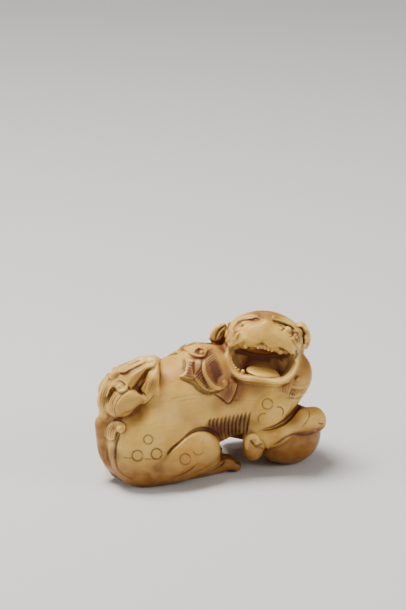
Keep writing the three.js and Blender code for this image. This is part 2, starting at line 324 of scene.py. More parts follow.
def roll(path, girth, flat=1, out=(0, 0, 1), place=WORLD):
    """A rod along a smooth curve through `path`."""
    points = [place @ Vector(point) for point in path]
    step = max(0.4, 0.3 * min(girth))
    return rod(curve(points, step), girth, flat, place.to_3x3() @ Vector(out))


limb = roll([(0, 0, 0), (4, 2, 0), (8, 0, 0)], (1, 2, 1))
print("a bent limb's box, mm:", (limb.high - limb.low).round(1))

# %% [markdown]
# The body comes first. It is the same set of soft masses that the solid was made from:
# barrel, rump, haunches, chest, shoulders, neck, and the ruff that the mane lies on. They
# melt into each other over 3 mm, as muscles do under skin.

# %% Body
MUSCLE = 3  # how far masses of the body run into each other

BODY = [
    egg((-4, 0.2, 14.2), (17.4, 9.2, 10.4), (0, -5, 0)),  # barrel
    egg((-14, 0, 11.4), (7.8, 9, 11)),  # rump
    egg((-13.5, -5.7, 8.3), (8.8, 5.6, 9)),  # near haunch
    egg((-11.4, 5, 8.4), (8.2, 5.6, 9.1)),  # far haunch
    egg((12.6, 0, 15.4), (9.4, 7.6, 8.6)),  # chest
    egg((9.5, -4.8, 14.5), (6.6, 3.6, 6.4)),  # near shoulder
    egg((9.5, 4.8, 14.5), (6.6, 3.6, 6.4)),  # far shoulder
    egg((13, -0.4, 19.8), (10, 8, 6.8)),  # neck
    egg((1.4, -0.4, 20.6), (6, 7.8, 5.6)),  # ruff
]
for mass in BODY:
    block.add(mass, MUSCLE)
print("body masses:", len(BODY))

# %% [markdown]
# Fine carving follows the surface, so it is drawn on panels: flat sheets that face the
# work as a carver's eye does. A drawing on a panel is in millimetres across and up, and
# it is laid on the skin by following each point straight in until it meets the surface.
# Both flanks carry the same design, so the far panel is the near one mirrored.

# %% Panels
STAND_OFF = 45  # how far from the work a drawing starts
MISSED = 0.15  # further from the skin than this, a point has gone past it
TRACE_STEP = 0.35


class Panel:
    """A drawing plane that faces the work along `out`, with its origin at `at`."""

    def __init__(self, right, out, up, at=(0, 0, 0)):
        self.right, self.out, self.up = (np.array(way, float) for way in (right, out, up))
        self.at = np.array(at, float)

    def mirrored(self):
        flip = np.array((1, -1, 1))
        return Panel(self.right * flip, self.out * flip, self.up * flip, self.at * flip)

    def lay(self, drawing):
        """Points of a drawing, on the skin."""
        drawing = np.array(drawing, float)
        sheet = self.at + drawing[:, :1] * self.right + drawing[:, 1:2] * self.up
        points = block.skin(sheet + STAND_OFF * self.out, -self.out)
        missed = block.sample(points) > MISSED
        if missed.any() and not missed.all():
            depth = (points - sheet) @ self.out
            order = np.arange(len(depth))
            depth[missed] = np.interp(order[missed], order[~missed], depth[~missed])
            points = sheet + depth[:, None] * self.out
        return points

    def trace(self, drawing):
        """A smooth line through a drawing's points, on the skin."""
        return self.lay(curve(drawing, TRACE_STEP))

    def spread(self, x, y, z):
        """Where points lie across, up and out of the panel."""
        x, y, z = x - self.at[0], y - self.at[1], z - self.at[2]
        for way in (self.right, self.up, self.out):
            yield x * way[0] + y * way[1] + z * way[2]


VIEW_TURN, VIEW_TILT = 22, 20  # degrees that the eye goes round, and up

turn, tilt = math.radians(VIEW_TURN), math.radians(VIEW_TILT)
near = Panel(
    (math.cos(turn), -math.sin(turn), 0),
    (-math.sin(turn) * math.cos(tilt), -math.cos(turn) * math.cos(tilt), math.sin(tilt)),
    (math.sin(turn) * math.sin(tilt), math.cos(turn) * math.sin(tilt), math.cos(tilt)),
)
far = near.mirrored()
print("near panel faces", near.out.round(2))

# %% [markdown]
# With panels there are five strokes. `incise` cuts one line. `comb` cuts a fan of hairs
# between two guide lines. `lock` lays a rolled lock of hair along a line. `bead` sets a
# round bead, and `ring` cuts a circle or a part of one.

# %% Strokes
GUIDE_STOPS = 24  # points along each guide line of a comb
GUIDE_STRIDE = 3  # of which every third steers a hair
RING_STOPS = 24


def incise(panel, path, width=0.2, depth=0.15, ink=0.6, taper=0.2):
    block.incise(panel.trace(path), width, depth, ink, taper)


def comb(panel, first, last, count, width=0.2, depth=0.22, ink=0.5, taper=0.35):
    first, last = (curve(guide, 0.1) for guide in (first, last))
    stops = np.linspace(0, 1, GUIDE_STOPS)
    first, last = (
        np.stack([np.interp(stops, np.linspace(0, 1, len(g)), g[:, i]) for i in (0, 1)], axis=1)
        for g in (first, last)
    )
    first, last = first[::GUIDE_STRIDE], last[::GUIDE_STRIDE]
    for part in np.linspace(0, 1, count):
        incise(panel, first + part * (last - first), width, depth, ink, taper)


def lock(panel, path, girth, width=0.2, sink=0):
    spine = panel.trace(path) - sink * panel.out
    block.add(rod(spine, girth), width)


def bead(panel, at, radius, width=0.12, sink=0.1):
    spot = panel.lay([at])[0] - sink * panel.out
    block.add(egg(spot, (radius,) * 3), width)


def ring(panel, at, radius, start=0, end=360, width=0.24, depth=0.18, ink=0.85):
    turns = np.radians(np.linspace(start, end, RING_STOPS))
    path = [(at[0] + radius * math.cos(t), at[1] + radius * math.sin(t)) for t in turns]
    taper = 0.001 if end - start == 360 else 0.15
    incise(panel, path, width, depth, ink, taper)


print("strokes: incise, comb, lock, bead, ring")

# %% [markdown]
# Low relief needs an outline, and how far inside it each place is. Each point of an
# outline says how wide the slope is there, so an edge can be crisp on one side and fade
# away on the other. How far inside a place is, counted in those widths, is worked out once
# on a small chart of the panel and then read off it.

# %% Charts of outlines
CHART_CELL = 0.12  # mm
CHART_MARGIN = 6  # cells around the outline
DEEP_INSIDE = 9.0  # in slope widths, past the end of any slope


def closed(outline):
    """A smooth closed outline through (across, up, slope width) points."""
    path = curve(list(outline[-2:]) + list(outline) + list(outline[:2]), 0.25)
    away = np.linalg.norm(path - np.array(outline[0]), axis=1)
    half = len(path) // 2
    return path[np.argmin(away[:half]):half + np.argmin(away[half:])]


def depth_inside(outline, low, count, size):
    """How far lattice points are inside an outline, counted in its slope widths."""
    a = low[0] + size * np.arange(count[0])[:, None]
    b = low[1] + size * np.arange(count[1])[None, :]
    depth = np.full(count, DEEP_INSIDE)
    inside = np.zeros(count, bool)
    for (ax, ay, start), (bx, by, end) in zip(outline, np.roll(outline, -1, axis=0)):
        wx, wy = bx - ax, by - ay
        t = ((a - ax) * wx + (b - ay) * wy) / max(wx * wx + wy * wy, 1e-9)
        t = np.clip(t, 0, 1)
        off = np.hypot(a - ax - t * wx, b - ay - t * wy)
        depth = np.minimum(depth, off / (start + t * (end - start)))
        if ay != by:
            inside ^= ((ay > b) != (by > b)) & (a < ax + (b - ay) / (by - ay) * wx)
    return np.where(inside, depth, -depth)


def chart(outline):
    """An outline, and a function that reads how far inside it any places are."""
    outline, size = closed(outline), CHART_CELL
    low = outline[:, :2].min(0) - CHART_MARGIN * size
    count = np.ceil((outline[:, :2].max(0) - low) / size).astype(int) + CHART_MARGIN + 1
    depth = depth_inside(outline, low, tuple(count), size).astype(np.float32)

    def read(across, up):
        i = np.clip((across - low[0]) / size, 0, count[0] - 1.001)
        j = np.clip((up - low[1]) / size, 0, count[1] - 1.001)
        m, n = i.astype(int), j.astype(int)
        i, j = i - m, j - n
        below = depth[m, n] * (1 - i) + depth[m + 1, n] * i
        above = depth[m, n + 1] * (1 - i) + depth[m + 1, n + 1] * i
        return below * (1 - j) + above * j

    return outline, read


_, depth_at = chart([(-2, -2, 1), (2, -2, 1), (2, 2, 1), (-2, 2, 1)])
middle_depth = depth_at(np.zeros(1), np.zeros(1))
print("depth in the middle of a rounded square:", middle_depth.round(1))

# %% [markdown]
# `relief` raises everything inside an outline, or sinks it. `hollow` cuts a pocket with
# such an outline straight in.

# %% Relief and pockets
RELIEF_REACH = 2.5  # mm behind the skin where relief fades out
POCKET_REACH = 7  # mm around a pocket's outline
POCKET_FLOOR = 2.0  # how widely a pocket's floor runs into its walls
POCKET_RIM = 0.35  # and its walls into the skin


def relief(panel, outline, height):
    """Raise the skin inside an outline by `height`, or sink it where that is minus."""
    outline, depth = chart(outline)
    spots = panel.lay(outline)
    lowest = ((spots - panel.at) @ panel.out).min()
    cells, spot = block.window(spots.min(0) - RELIEF_REACH, spots.max(0) + RELIEF_REACH)
    across, up, out = panel.spread(*spot)
    rise = np.clip(depth(across, up), 0, 1)
    facing = np.clip(out - lowest + RELIEF_REACH, 0, 1)
    block.value[cells] -= rise * (2 - rise) * height * facing


def hollow(panel, outline, bottom):
    """Cut a pocket with this outline straight in, as deep as `bottom` out of the panel."""
    outline, depth = chart([(a, b, 1) for a, b in outline])
    spots = panel.lay(outline)
    cells, spot = block.window(spots.min(0) - POCKET_REACH, spots.max(0) + POCKET_REACH)
    across, up, out = panel.spread(*spot)
    pocket = -melt(depth(across, up), out - bottom, POCKET_FLOOR)
    block.value[cells] = -melt(-block.value[cells], pocket, POCKET_RIM)


print("relief and pockets are ready, with charts of", CHART_CELL, "mm cells")

# %% [markdown]
# Each hind leg is folded flat against the belly: a broad thigh, a knee, and a long foot
# under it that ends in four toes. Limbs are rolls, flattened towards the flank. The near
# and the far leg are mirror images, so one function makes both.

# %% Hind legs
def hind_leg(side):
    out = (0, side, 0)
    thigh = [(-12.5, side * 7.4, 6), (-8, side * 8.2, 6.2), (-4.1, side * 8.3, 6)]
    block.add(roll(thigh, (4.4, 5.6, 4.5), 0.62, out), 1.6)
    block.add(egg((-1.4, side * 6, 4.2), (3, 3, 4)), 1.2)
    foot = [(-12, side * 5.4, 1.4), (-5, side * 5.6, 1.4), (2, side * 5, 1.7)]
    block.add(roll(foot, (1.9, 2.2, 2.3), 0.85), 0.6)
    for i, reach in enumerate((3.6, 4.6, 4.8, 4.2)):
        across = side * (3.2 + 1.2 * i)
        block.add(egg((reach - 1, across, 2.1), (1.9, 0.8, 1.3), (0, 16, 0)), 0.3)
        block.add(egg((reach + 0.9, across, 1.1), (1, 0.7, 0.9), (0, 30, 0)), 0.3)


for side in SIDES:
    hind_leg(side)
print("hind legs:", len(SIDES))

# %% [markdown]
# The thigh's edge is drawn on the panel and raised, crisp above the knee and lost in the
# haunch behind. Cut lines deepen the edge where it is crisp.

# %% Thighs
THIGH = [
    (-9, 0.6, 4), (-7.4, 2, 1.8), (-6.2, 3.3, 0.7), (-4.6, 4.7, 0.6), (-3.2, 5.9, 0.6),
    (-1.5, 7, 0.7), (0.2, 7.3, 0.8), (1.7, 7.1, 0.9), (2.9, 6.3, 1), (3.8, 4.8, 1),
    (4.1, 3.4, 0.9), (3.9, 2.3, 0.7), (3.2, 1.4, 0.6), (2.4, 0.7, 0.6), (1.2, 0.1, 0.8),
    (0.1, 0.2, 1.2), (-1, 0.4, 1), (-2.6, -1, 0.8), (-4.1, -1.8, 0.8), (-6.2, -2.6, 1),
    (-8.6, -3.2, 3), (-10.4, -2.2, 4), (-10.4, -0.6, 4),
]
for panel in (near, far):
    relief(panel, THIGH, 0.55)
    incise(panel, [(-7.2, 2.2), (-6.2, 3.5), (-4.6, 4.9), (-3.2, 6.1)], 0.25, 0.3, 0.8)
    incise(panel,
        [(-4.2, 5.3), (-3.2, 6.15), (-1.5, 7.3), (0.2, 7.65), (1.8, 7.45), (3.2, 6.6), (4.2, 5),
         (4.5, 3.4)],
        0.42, 0.45, 0.8, 0.3)
    incise(panel, [(-0.8, 0.5), (-1.4, -0.1), (-2.5, -1), (-4.1, -1.8), (-6.4, -2.7)],
        0.4, 0.4, 0.85, 0.25)
    incise(panel, [(4, 2), (3.3, 1.1), (2.4, 0.4), (1.2, -0.3), (-0.2, -1), (-1.6, -1.5)],
        0.4, 0.22, 0.5)
    incise(panel, [(4.8, 1.2), (4.5, 0.4), (3.8, -0.3), (2.9, -0.9), (1.9, -1.3)], 0.3, 0.25, 0.7)
block.settle()
print("thigh outline points:", len(THIGH))

# %% [markdown]
# The near foreleg reaches over the ball, and its forearm and paw show from end to end.
# The far one is hidden from the front, so it is plainer: it reaches forward to rest beside
# the ball. At the near elbow hangs a curled tuft of hair.

# %% Forelegs and ball
BALL_AT = (17.8, -4.4, 6)
BALL_SIZE = (7.2, 6.3, 6.5)

block.add(egg(BALL_AT, BALL_SIZE), 0.3)


def near_foreleg():
    upper = [(16, -5, 17.6), (12.8, -6.8, 13.6), (9.6, -8.2, 9.6)]
    block.add(roll(upper, (5.4, 5, 3.4), 0.58, (0, NEAR, 0)), 1.6)
    forearm = [(9.9, -8.8, 7.9), (12.6, -9.1, 7.9), (15.4, -9.2, 8.7), (18.8, -8.3, 9.8)]
    block.add(roll(forearm, (2.6, 2.3, 1.9, 2.2)), 0.4)
    block.add(roll([(20.2, -7.8, 9.9), (22.5, -7.2, 9.8)], (2.35, 2.45)), 0.9)
    for i in range(3):
        block.add(egg((23.5, -8.2 + 1.8 * i, 9.2), (1.5, 1.1, 2)), 0.5)


def far_foreleg():
    upper = [(14, 5, 15.5), (11.5, 6.8, 12.5), (9.4, 7.8, 8.5)]
    block.add(roll(upper, (5.2, 4.8, 3.2), 0.6, (0, FAR, 0)), 1.6)
    block.add(roll([(9.2, 8, 5.6), (14, 7.4, 3.6), (19, 4.8, 2.6)], (3.1, 2.7, 2.3)), 0.6)
    block.add(roll([(20, 4.4, 2.3), (22.6, 2.4, 2.3)], (2.5, 2.5)), 0.8)
    for i in range(3):
        block.add(egg((23 + i * 0.4, 0.4 + i * 1.7, 2.2), (1.4, 1, 1.6)), 0.35)


near_foreleg()
far_foreleg()
block.add(egg((8.2, -8.3, 5.8), (2.2, 2.2, 3), (0, -8, 0)), 0.7)  # elbow tuft
block.add(egg((7.6, -8.9, 8), (1.7, 1.7, 1.7)), 0.5)
print("ball, mm across:", [2 * half for half in BALL_SIZE])

# %% [markdown]
# The creases of the foreleg: where the forearm leaves the upper arm, the wrist, the claws,
# and the little scroll on the elbow tuft.

# %% Creases of the foreleg
UPPER_ARM = [
    (19.8, 14.3, 0.6), (19.4, 13.2, 0.5), (18.8, 12, 0.5), (18, 10.6, 0.5), (17, 9.4, 0.5),
    (16, 8.6, 0.5), (14.8, 8, 0.5), (13.4, 7.7, 0.6), (11.8, 7.8, 1.5), (10.6, 8.8, 3),
    (10.4, 11, 3), (11.8, 14, 3), (15, 15.6, 2.5), (18, 15.4, 1.4),
]
FOREARM = [
    (13, 7.3, 1.5), (14.8, 7.6, 0.7), (16.2, 8.2, 0.6), (17.4, 9.2, 0.6), (18.8, 10.5, 0.8),
    (20.4, 11.9, 0.8), (22.4, 12.3, 1.2), (24.6, 11.8, 1.4), (25.6, 10, 1.4), (25.2, 8.4, 1),
    (24, 7.3, 0.6), (21.6, 6.8, 0.5), (19.4, 6.9, 0.5), (17.6, 6.4, 0.5), (16, 5.2, 0.5),
    (14.4, 4.6, 0.7), (12.6, 5, 2), (12, 6.2, 2.5),
]
relief(near, FOREARM, 0.35)
relief(near, UPPER_ARM, 0.45)
incise(near, [(20.8, 13.2), (20.1, 11.8), (19.1, 10.5), (17.8, 9.2), (16.6, 8.3), (15.4, 7.7)],
    0.6, 0.55, 0.25)
incise(near, [(17.2, 8.9), (15.6, 7.95), (14.2, 7.5), (12.9, 7.4), (12, 7.5)], 0.25, 0.28, 0.85)
incise(near, [(24.4, 7), (22, 6.4), (19.4, 6.4), (17.6, 5.8), (16, 4.7), (14.4, 3.8)],
    0.45, 0.4, 0.8)
incise(near, [(22, 11.9), (22.6, 11), (22.4, 9.8), (21.6, 8.6), (20.8, 7.7)], 0.22, 0.16, 0.8)
incise(near, [(24.4, 8.9), (25, 8.6), (25.8, 8.6)], 0.28, 0.3, 1)
incise(near, [(23.4, 7.6), (24.4, 7.3), (25.2, 7.4)], 0.2, 0.2, 0.6)
lock(near, [(9.4, 3.6), (9.4, 4.9), (10, 5.9), (11, 6), (11.6, 5.3), (11.4, 4.7)],
    (0.3, 0.5, 0.6, 0.6, 0.48, 0.4), 0.15, -0.05)
incise(near, [(10.2, 5.3), (10.4, 4.9), (10.9, 4.3)], 0.45, 0.5, 1, 0.1)
incise(near, [(10.9, 4.2), (11.8, 4), (12.7, 4.5)], 0.5, 0.4, 0.6, 0.1)
incise(near, [(11, 3.6), (12, 3.7), (13, 3.3)], 0.3, 0.2, 0.6)
incise(near, [(12.2, 5.6), (12.8, 4.9), (13.3, 3.9), (13.4, 2.9)], 0.35, 0.3, 0.6)
incise(near, [(14.2, 4.2), (14.4, 3.6), (14.2, 2.9)], 0.3, 0.2, 0.5)
comb(near, [(12.2, 3), (12, 1.8), (11, 1)], [(9.4, 3.6), (9, 2.4), (9.2, 1.4)], 4, 0.2, 0.1, 0.25)
block.settle()
print("foreleg creased")

# %% [markdown]
# The tail is bushy and laid forward over the rump. It has a frame of its own, turned a
# little towards the near side. Its mass is three eggs. On both sides of it lie rolls: a
# smooth lobe, a flame that rises from it to the tip, a band along the top, a curl on the
# outside, and three thinner rolls that fill the gaps between them. The near side also has
# a thick one below its band, and a few rolls make the root of the tail.

# %% Tail
TAIL_AT = (-17.2, -0.8, 19)
TAIL_TURN = 22

tail_place = Matrix.Translation(TAIL_AT) @ Matrix.Rotation(math.radians(-TAIL_TURN), 4, "Z")
TAIL = [
    egg((-0.8, 0, -0.8), (4.6, 5.6, 5.2), place=tail_place),
    egg((1.8, 0, 2.8), (4, 3.6, 3.1), place=tail_place),
    egg((3.6, 0, 5.2), (2.5, 1.5, 2.3), (0, 40, 0), place=tail_place),
]
tail = Block(block.low, block.low + CELL * (np.array(block.value.shape) - 1))
for mass in TAIL:
    tail.add(mass, 2)
block.value = melt(block.value, tail.value, 0.5)


def tail_lock(path, girth, width=0.4):
    block.add(roll(path, girth, place=tail_place), width)


for side in SIDES:
    lobe = [(-1.8, side * 5, -1.6), (-0.2, side * 5.3, 0.2), (3.2, side * 4.6, 0)]
    tail_lock(lobe, (2.1, 2.4, 1.1))
    flame = [(3.7, side * 4.8, -0.2), (5.2, side * 3.7, 3.6), (5.9, side * 1.2, 6.8)]
    tail_lock(flame, (1.1, 1.4, 0.7))
    lower = 1.5 if side == FAR else 0.2
    band = [
        (-2.4, side * 1.8, 3.9 - lower), (1.2, side * 1.2, 5.3 - lower / 2),
        (5.3, side * 0.4, 6.7),
    ]
    tail_lock(band, (1.2, 1.25, 0.8))
    curl = [(-4, side * 3.2, -3.6), (-4.2, side * 3, -0.6), (-3.4, side * 3, 1.8)]
    tail_lock(curl, (1.3, 1.7, 1.1), 0.8)
    tail_lock([(2.2, side * 3.3, 1), (3.5, side * 3, 3.4), (5.2, side * 1.9, 5.6)],
        (1.3, 1.25, 0.8), 0.6)
    tail_lock(
        [(-3, side * 3.5, -0.6), (-2.6, side * 3.6, 1.4 - lower / 2),
         (-1.4, side * 3.3, 3.0 - lower)],
        (1.2, 1.3, 1), 0.6)
    tail_lock(
        [(-0.8, side * 2.9, 3.4 - lower), (0.6, side * 2.7, 4.5 - lower),
         (2, side * 2.2, 5.3 - lower)],
        (1, 1, 0.8), 0.6)
tail_lock([(2.8, 0, 5.9), (5.9, 0, 6.95)], (1, 0.8), 0.8)
tail_lock([(0.8, -3.6, 3.4), (2.8, -2.7, 5.2), (5.2, -1.2, 6.5)], (1.6, 1.3, 0.5))
block.add(roll([(-19.5, -1.2, 2.1), (-21.2, -1, 6.5), (-21.7, -0.8, 12.5)], (1.6, 2.2, 2.3)), 0.8)
block.add(roll([(-20.3, -1.6, 4.2), (-19.6, -4, 3.2), (-18, -6, 2.3)], (1.5, 1.5, 1.5)), 1.2)
block.add(egg((-20.4, -5.2, 13.2), (1.5, 1.2, 1.6)), 0.6)
print("tail masses:", len(TAIL))

# %% [markdown]
# The near flank's panel serves for one side of the tail. The tail is turned, so its far
# side has a panel of its own, which mirrors that one in the tail's own frame.

# %% Panel for the tail's far side
tail_at = np.array(TAIL_AT)
tail_spin = np.array(Matrix.Rotation(math.radians(-TAIL_TURN), 3, "Z"))
far_right, far_out, far_up = (
    tail_spin @ way for way in (
        (1, 0, 0), (0, math.cos(tilt), math.sin(tilt)), (0, -math.sin(tilt), math.cos(tilt)))
)
tail_far = Panel(
    far_right, far_out, far_up,
    tail_at - (tail_at @ near.right) * far_right - (tail_at @ near.up) * far_up,
)
print("far panel of the tail faces", tail_far.out.round(2))

# %% [markdown]
# The rolls are only the rough shape of the locks. The edges of the locks are outlines on
# the panel: the third number of each point says how wide the slope is there.

# %% Outlines on the tail

TAIL_RECESS = [
    (-16.9, 19.4, 0.5), (-15.5, 19.4, 0.6), (-14.1, 19.7, 0.6), (-12.7, 20.4, 0.5),
    (-11.7, 21, 0.4), (-12.7, 20.1, 0.5), (-14.1, 19.4, 0.5), (-15, 18.5, 0.4),
    (-15.4, 17.9, 0.4), (-16.5, 18.4, 0.4),
]
LOBE = [
    (-17.8, 12.6, 0.6), (-17.3, 13.4, 0.6), (-16.5, 14.5, 0.5), (-15.7, 15.2, 0.5),
    (-14.8, 15.5, 0.5), (-13.9, 15.4, 0.5), (-12.9, 15, 0.5), (-11.8, 14.7, 0.5),
    (-11.4, 14.2, 0.7), (-11.2, 13.5, 0.7), (-11.7, 12.6, 0.5), (-12.4, 12.6, 0.5),
    (-13.4, 11.5, 0.7), (-14.4, 10.7, 0.7), (-15.5, 10.1, 0.7), (-16.9, 9.7, 0.6),
    (-17.8, 10.1, 0.6), (-18, 11.2, 0.6),
]
FLAME = [
    (-11.8, 12.6, 0.5), (-10.8, 13.2, 0.6), (-10, 14.2, 0.6), (-9.4, 15.3, 0.6),
    (-8.8, 16.7, 0.7), (-8.5, 18.3, 0.7), (-8.7, 20.1, 0.5), (-9.1, 21.1, 0.4), (-9.5, 20.1, 0.5),
    (-10.1, 18.9, 0.6), (-10.9, 17.5, 0.6), (-11.4, 16.3, 0.6), (-11.8, 15.1, 0.6),
    (-11.7, 14.5, 0.8),
]
MIDDLE = [
    (-15.1, 18.1, 0.6), (-14.5, 18.9, 0.7), (-13.6, 19.6, 0.7), (-12.2, 20.4, 0.6),
    (-11.2, 20.8, 0.5), (-9.5, 21, 0.3), (-9.8, 20.4, 0.4), (-11.2, 19.7, 0.6),
    (-11.9, 18.5, 0.8), (-13, 17.2, 0.8), (-13.8, 16.3, 0.7), (-14.6, 15.9, 0.6),
    (-15.2, 16.3, 0.6), (-15.4, 17.2, 0.6),
]
TOP_BAND = [
    (-16.9, 19.4, 0.5), (-16.1, 19.9, 0.6), (-14.4, 20.8, 0.6), (-13.1, 21.4, 0.5),
    (-11.7, 21.9, 0.4), (-11.5, 21.4, 0.4), (-12.7, 20.6, 0.5), (-14.1, 19.9, 0.6),
    (-15.5, 19.1, 0.6), (-16.5, 19, 0.5),
]
TIP_LEAF = [
    (-11.4, 20.7, 0.3), (-10.5, 21.2, 0.4), (-9.3, 21.7, 0.4), (-9.2, 21, 0.4),
    (-10.1, 20.6, 0.4), (-11, 20.4, 0.3),
]
INNER_LEAF = [
    (-12.3, 15.2, 0.3), (-12.7, 15.8, 0.3), (-12.3, 16.6, 0.4), (-11.5, 17.4, 0.4),
    (-10.8, 18.1, 0.3), (-11.1, 16.9, 0.4), (-11.5, 15.9, 0.4), (-11.8, 15.1, 0.4),
]
KNOB = [
    (-19.6, 14, 0.3), (-19.4, 15.3, 0.4), (-18.8, 16.5, 0.4), (-18.1, 17.5, 0.4),
    (-17.2, 18.1, 0.4), (-16.3, 18.1, 0.4), (-15.5, 17.6, 0.4), (-15, 16.8, 0.4),
    (-15, 15.9, 0.4), (-15.5, 15.2, 0.4), (-16.3, 15, 0.4), (-17.1, 15.2, 0.4),
    (-17.5, 15.8, 0.4), (-18.1, 16.1, 0.5), (-18.6, 15.6, 0.5), (-18.9, 14.8, 0.5),
]

LOCKS = [  # outline, how high it stands
    (TAIL_RECESS, -0.1), (INNER_LEAF, 0.35), (LOBE, 0.5), (FLAME, 0.5), (MIDDLE, 0.6),
    (TOP_BAND, 0.45), (TIP_LEAF, 0.3),
]
print("outlines on the tail:", len(LOCKS))

# %% [markdown]
# Now they are raised in turn, so that each lock overlaps the one before, and a V is left
# between the middle lock and the flame. A few lines run along the locks.

# %% Locks of the tail
for panel in (near, tail_far):
    for outline, height in LOCKS:
        relief(panel, outline, height)
    comb(panel, [(-11.2, 15.5), (-10.7, 16.7), (-9.9, 18.5)],
        [(-10.2, 15.3), (-9.5, 16.9), (-9.1, 18.7)], 3, 0.22, 0.25, 0.7)
    incise(panel, [(-15.6, 20.8), (-14.1, 21.2), (-12.5, 21.9)], 0.28, 0.25, 0.9)
    incise(panel, [(-15.5, 19.3), (-14.1, 20), (-12.7, 20.7), (-11.9, 21.2)], 0.28, 0.22, 0.8)
    incise(panel, [(-16.1, 19.4), (-14.8, 20.1), (-13.4, 20.8)], 0.24, 0.2, 0.6)
    incise(panel, [(-11.8, 21.1), (-10.8, 21.4), (-9.4, 21.8)], 0.22, 0.2, 0.7)
    incise(panel, [(-15.5, 10.8), (-14.4, 11.4), (-13.4, 12.3)], 0.2, 0.08, 0.25)
block.settle()
print("locks raised on each side of the tail:", len(LOCKS) - 1)

# %% [markdown]
# Hairs run down the outside to the root. Over them lies the knob, a curl with a bead in
# it, and a second bead sits on the hairs behind.

# %% Hairs and knob of the tail
for panel in (near, tail_far):
    comb(panel, [(-19.3, 17.7), (-20.2, 16.1), (-20.7, 14.1), (-20.6, 11.5)],
        [(-16.6, 15.2), (-17.6, 14.3), (-18.2, 13.1), (-18.3, 11)], 7, 0.28, 0.38, 0.8)
    incise(panel, [(-17.5, 10.2), (-17.8, 11.7), (-17.4, 13), (-16.6, 14.2), (-15.8, 15)],
        0.35, 0.35, 0.8)
    block.settle()
    relief(panel, KNOB, 0.75)
    incise(panel,
        [(-18.2, 16.5), (-17.9, 17.1), (-17.2, 17.4), (-16.5, 17.4), (-15.9, 16.9), (-15.8, 16.2),
         (-16.2, 15.7)],
        0.3, 0.3, 0.55)
    bead(panel, (-16.79, 16.20), 0.7, 0.3, 0.2)
    block.settle()
    incise(panel, [(-16.6, 15.9), (-16.5, 15.8), (-16.4, 15.9)], 0.25, 0.4, 1, 0.01)
    bead(panel, (-17.77, 18.96), 0.75, 0.4, 0.35)
    incise(panel, [(-18.8, 18.1), (-19.3, 17.5), (-19.7, 16.7)], 0.3, 0.3, 0.6)
print("knob of the tail, outline points:", len(KNOB))

# %% [markdown]
# At the root of the tail a small curl lies on the rump, beside a deep cut that runs down
# to the foot.

# %% Curl on the rump
RUMP_CURL = [
    (-20, 6.3, 0.4), (-19.8, 7.8, 0.4), (-18.8, 9, 0.4), (-17.5, 9.6, 0.4), (-16.3, 9.3, 0.4),
    (-15.5, 8.4, 0.4), (-15.7, 7.2, 0.3), (-16.6, 6.7, 0.3), (-17.1, 7.2, 0.3), (-17.5, 6.8, 0.3),
    (-17.8, 5.4, 0.3), (-18.8, 5.2, 0.4), (-19.7, 5.6, 0.4),
]
incise(near, [(-16.8, 6.7), (-17.4, 4.9), (-17.7, 2.4), (-17.6, 0.5), (-17.1, -0.9)],
    0.38, 0.8, 1, 0.15)
incise(near, [(-17.1, -0.6), (-16.4, -1.5), (-15.3, -2.2), (-13.7, -2.9)], 0.25, 0.22, 0.6)
relief(near, RUMP_CURL, 0.45)
comb(near, [(-19.5, 5.9), (-19.5, 7.6), (-18.6, 8.7), (-17.3, 9.2)],
    [(-18.1, 5.6), (-18, 7.2), (-17.6, 7.9), (-17.2, 8.1)], 4, 0.2, 0.3, 0.7, 0.2)
incise(near, [(-20.5, 6.2), (-19.8, 5.7), (-18.9, 5.2)], 0.2, 0.15, 0.6)
comb(near, [(-20, 5), (-20.2, 2), (-19.4, -0.5)],
    [(-18.6, 4.4), (-18.6, 2), (-18, -0.5)], 3, 0.22, 0.1, 0.3)
block.settle()
bead(near, (-16.6, 7.7), 0.8, 0.15, 0.2)
bead(near, (-20.9, 10.2), 0.5)
bead(tail_far, (-17.4, 8.4), 1, 0.3)
print("tail finished")

# %% [markdown]
# The head is turned square to us and tips up a little. In its own frame X is to the
# viewer's right, Y is up and Z comes out of the face, so the face can be laid out as on
# paper. Skull, jaw, cheeks and muzzle melt together.

# %% Head
HEAD_AT = (12.4, -3.6, 26.1)
HEAD_TURN = 22  # degrees from facing -Y towards the tail
HEAD_TILT = 20  # degrees that the face looks up
HEAD_ROLL = -3

head_place = (
    Matrix.Translation(HEAD_AT)
    @ Matrix.Rotation(math.radians(90), 4, "X")
    @ Matrix.Rotation(math.radians(-HEAD_TURN), 4, "Y")
    @ Matrix.Rotation(math.radians(-HEAD_TILT), 4, "X")
    @ Matrix.Rotation(math.radians(HEAD_ROLL), 4, "Z")
)
head_ways = np.array(head_place.to_3x3())
face = Panel(head_ways[:, 0], head_ways[:, 2], head_ways[:, 1], HEAD_AT)


def head_egg(at, size, width=0.5, turn=(0, 0, 0)):
    block.add(egg(at, size, turn, head_place), width)


def head_roll(path, girth, width=0.4):
    block.add(roll(path, girth, place=head_place), width)


head_egg((0, 1.4, -1.8), (8.3, 6, 7), 1.2)  # skull
head_egg((0, -3, -1.2), (7.7, 4.9, 7), 1.5)  # jaw
for side in SIDES:
    head_egg((side * 5.9, 1.4, 2.6), (2.2, 2.2, 2.2), 1.5)  # cheeks
head_egg((0.4, 1.6, 3), (5.4, 3.4, 3.4), 1.2)  # muzzle
head_egg((0.1, 3.6, 4.4), (1.5, 1.9, 1.7), 1.2)  # bridge of the nose
for ear_at, lean in (((-9.4, 2.1, -0.4), -34), ((7.9, 3.1, -0.4), 12)):
    head_egg(ear_at, (1.5, 2.4, 1), 0.4, (0, 0, lean))
head_egg((-8.1, 0.4, -3.2), (2.2, 3, 2.6), 0.8)  # behind the ears
head_egg((7.6, 1.6, -3), (1.6, 3, 2.6), 0.8)
head_egg((7.4, -5.6, -3.6), (3.2, 4.2, 3.4), 1.5)  # right-hand mane
print("head at, mm:", HEAD_AT)

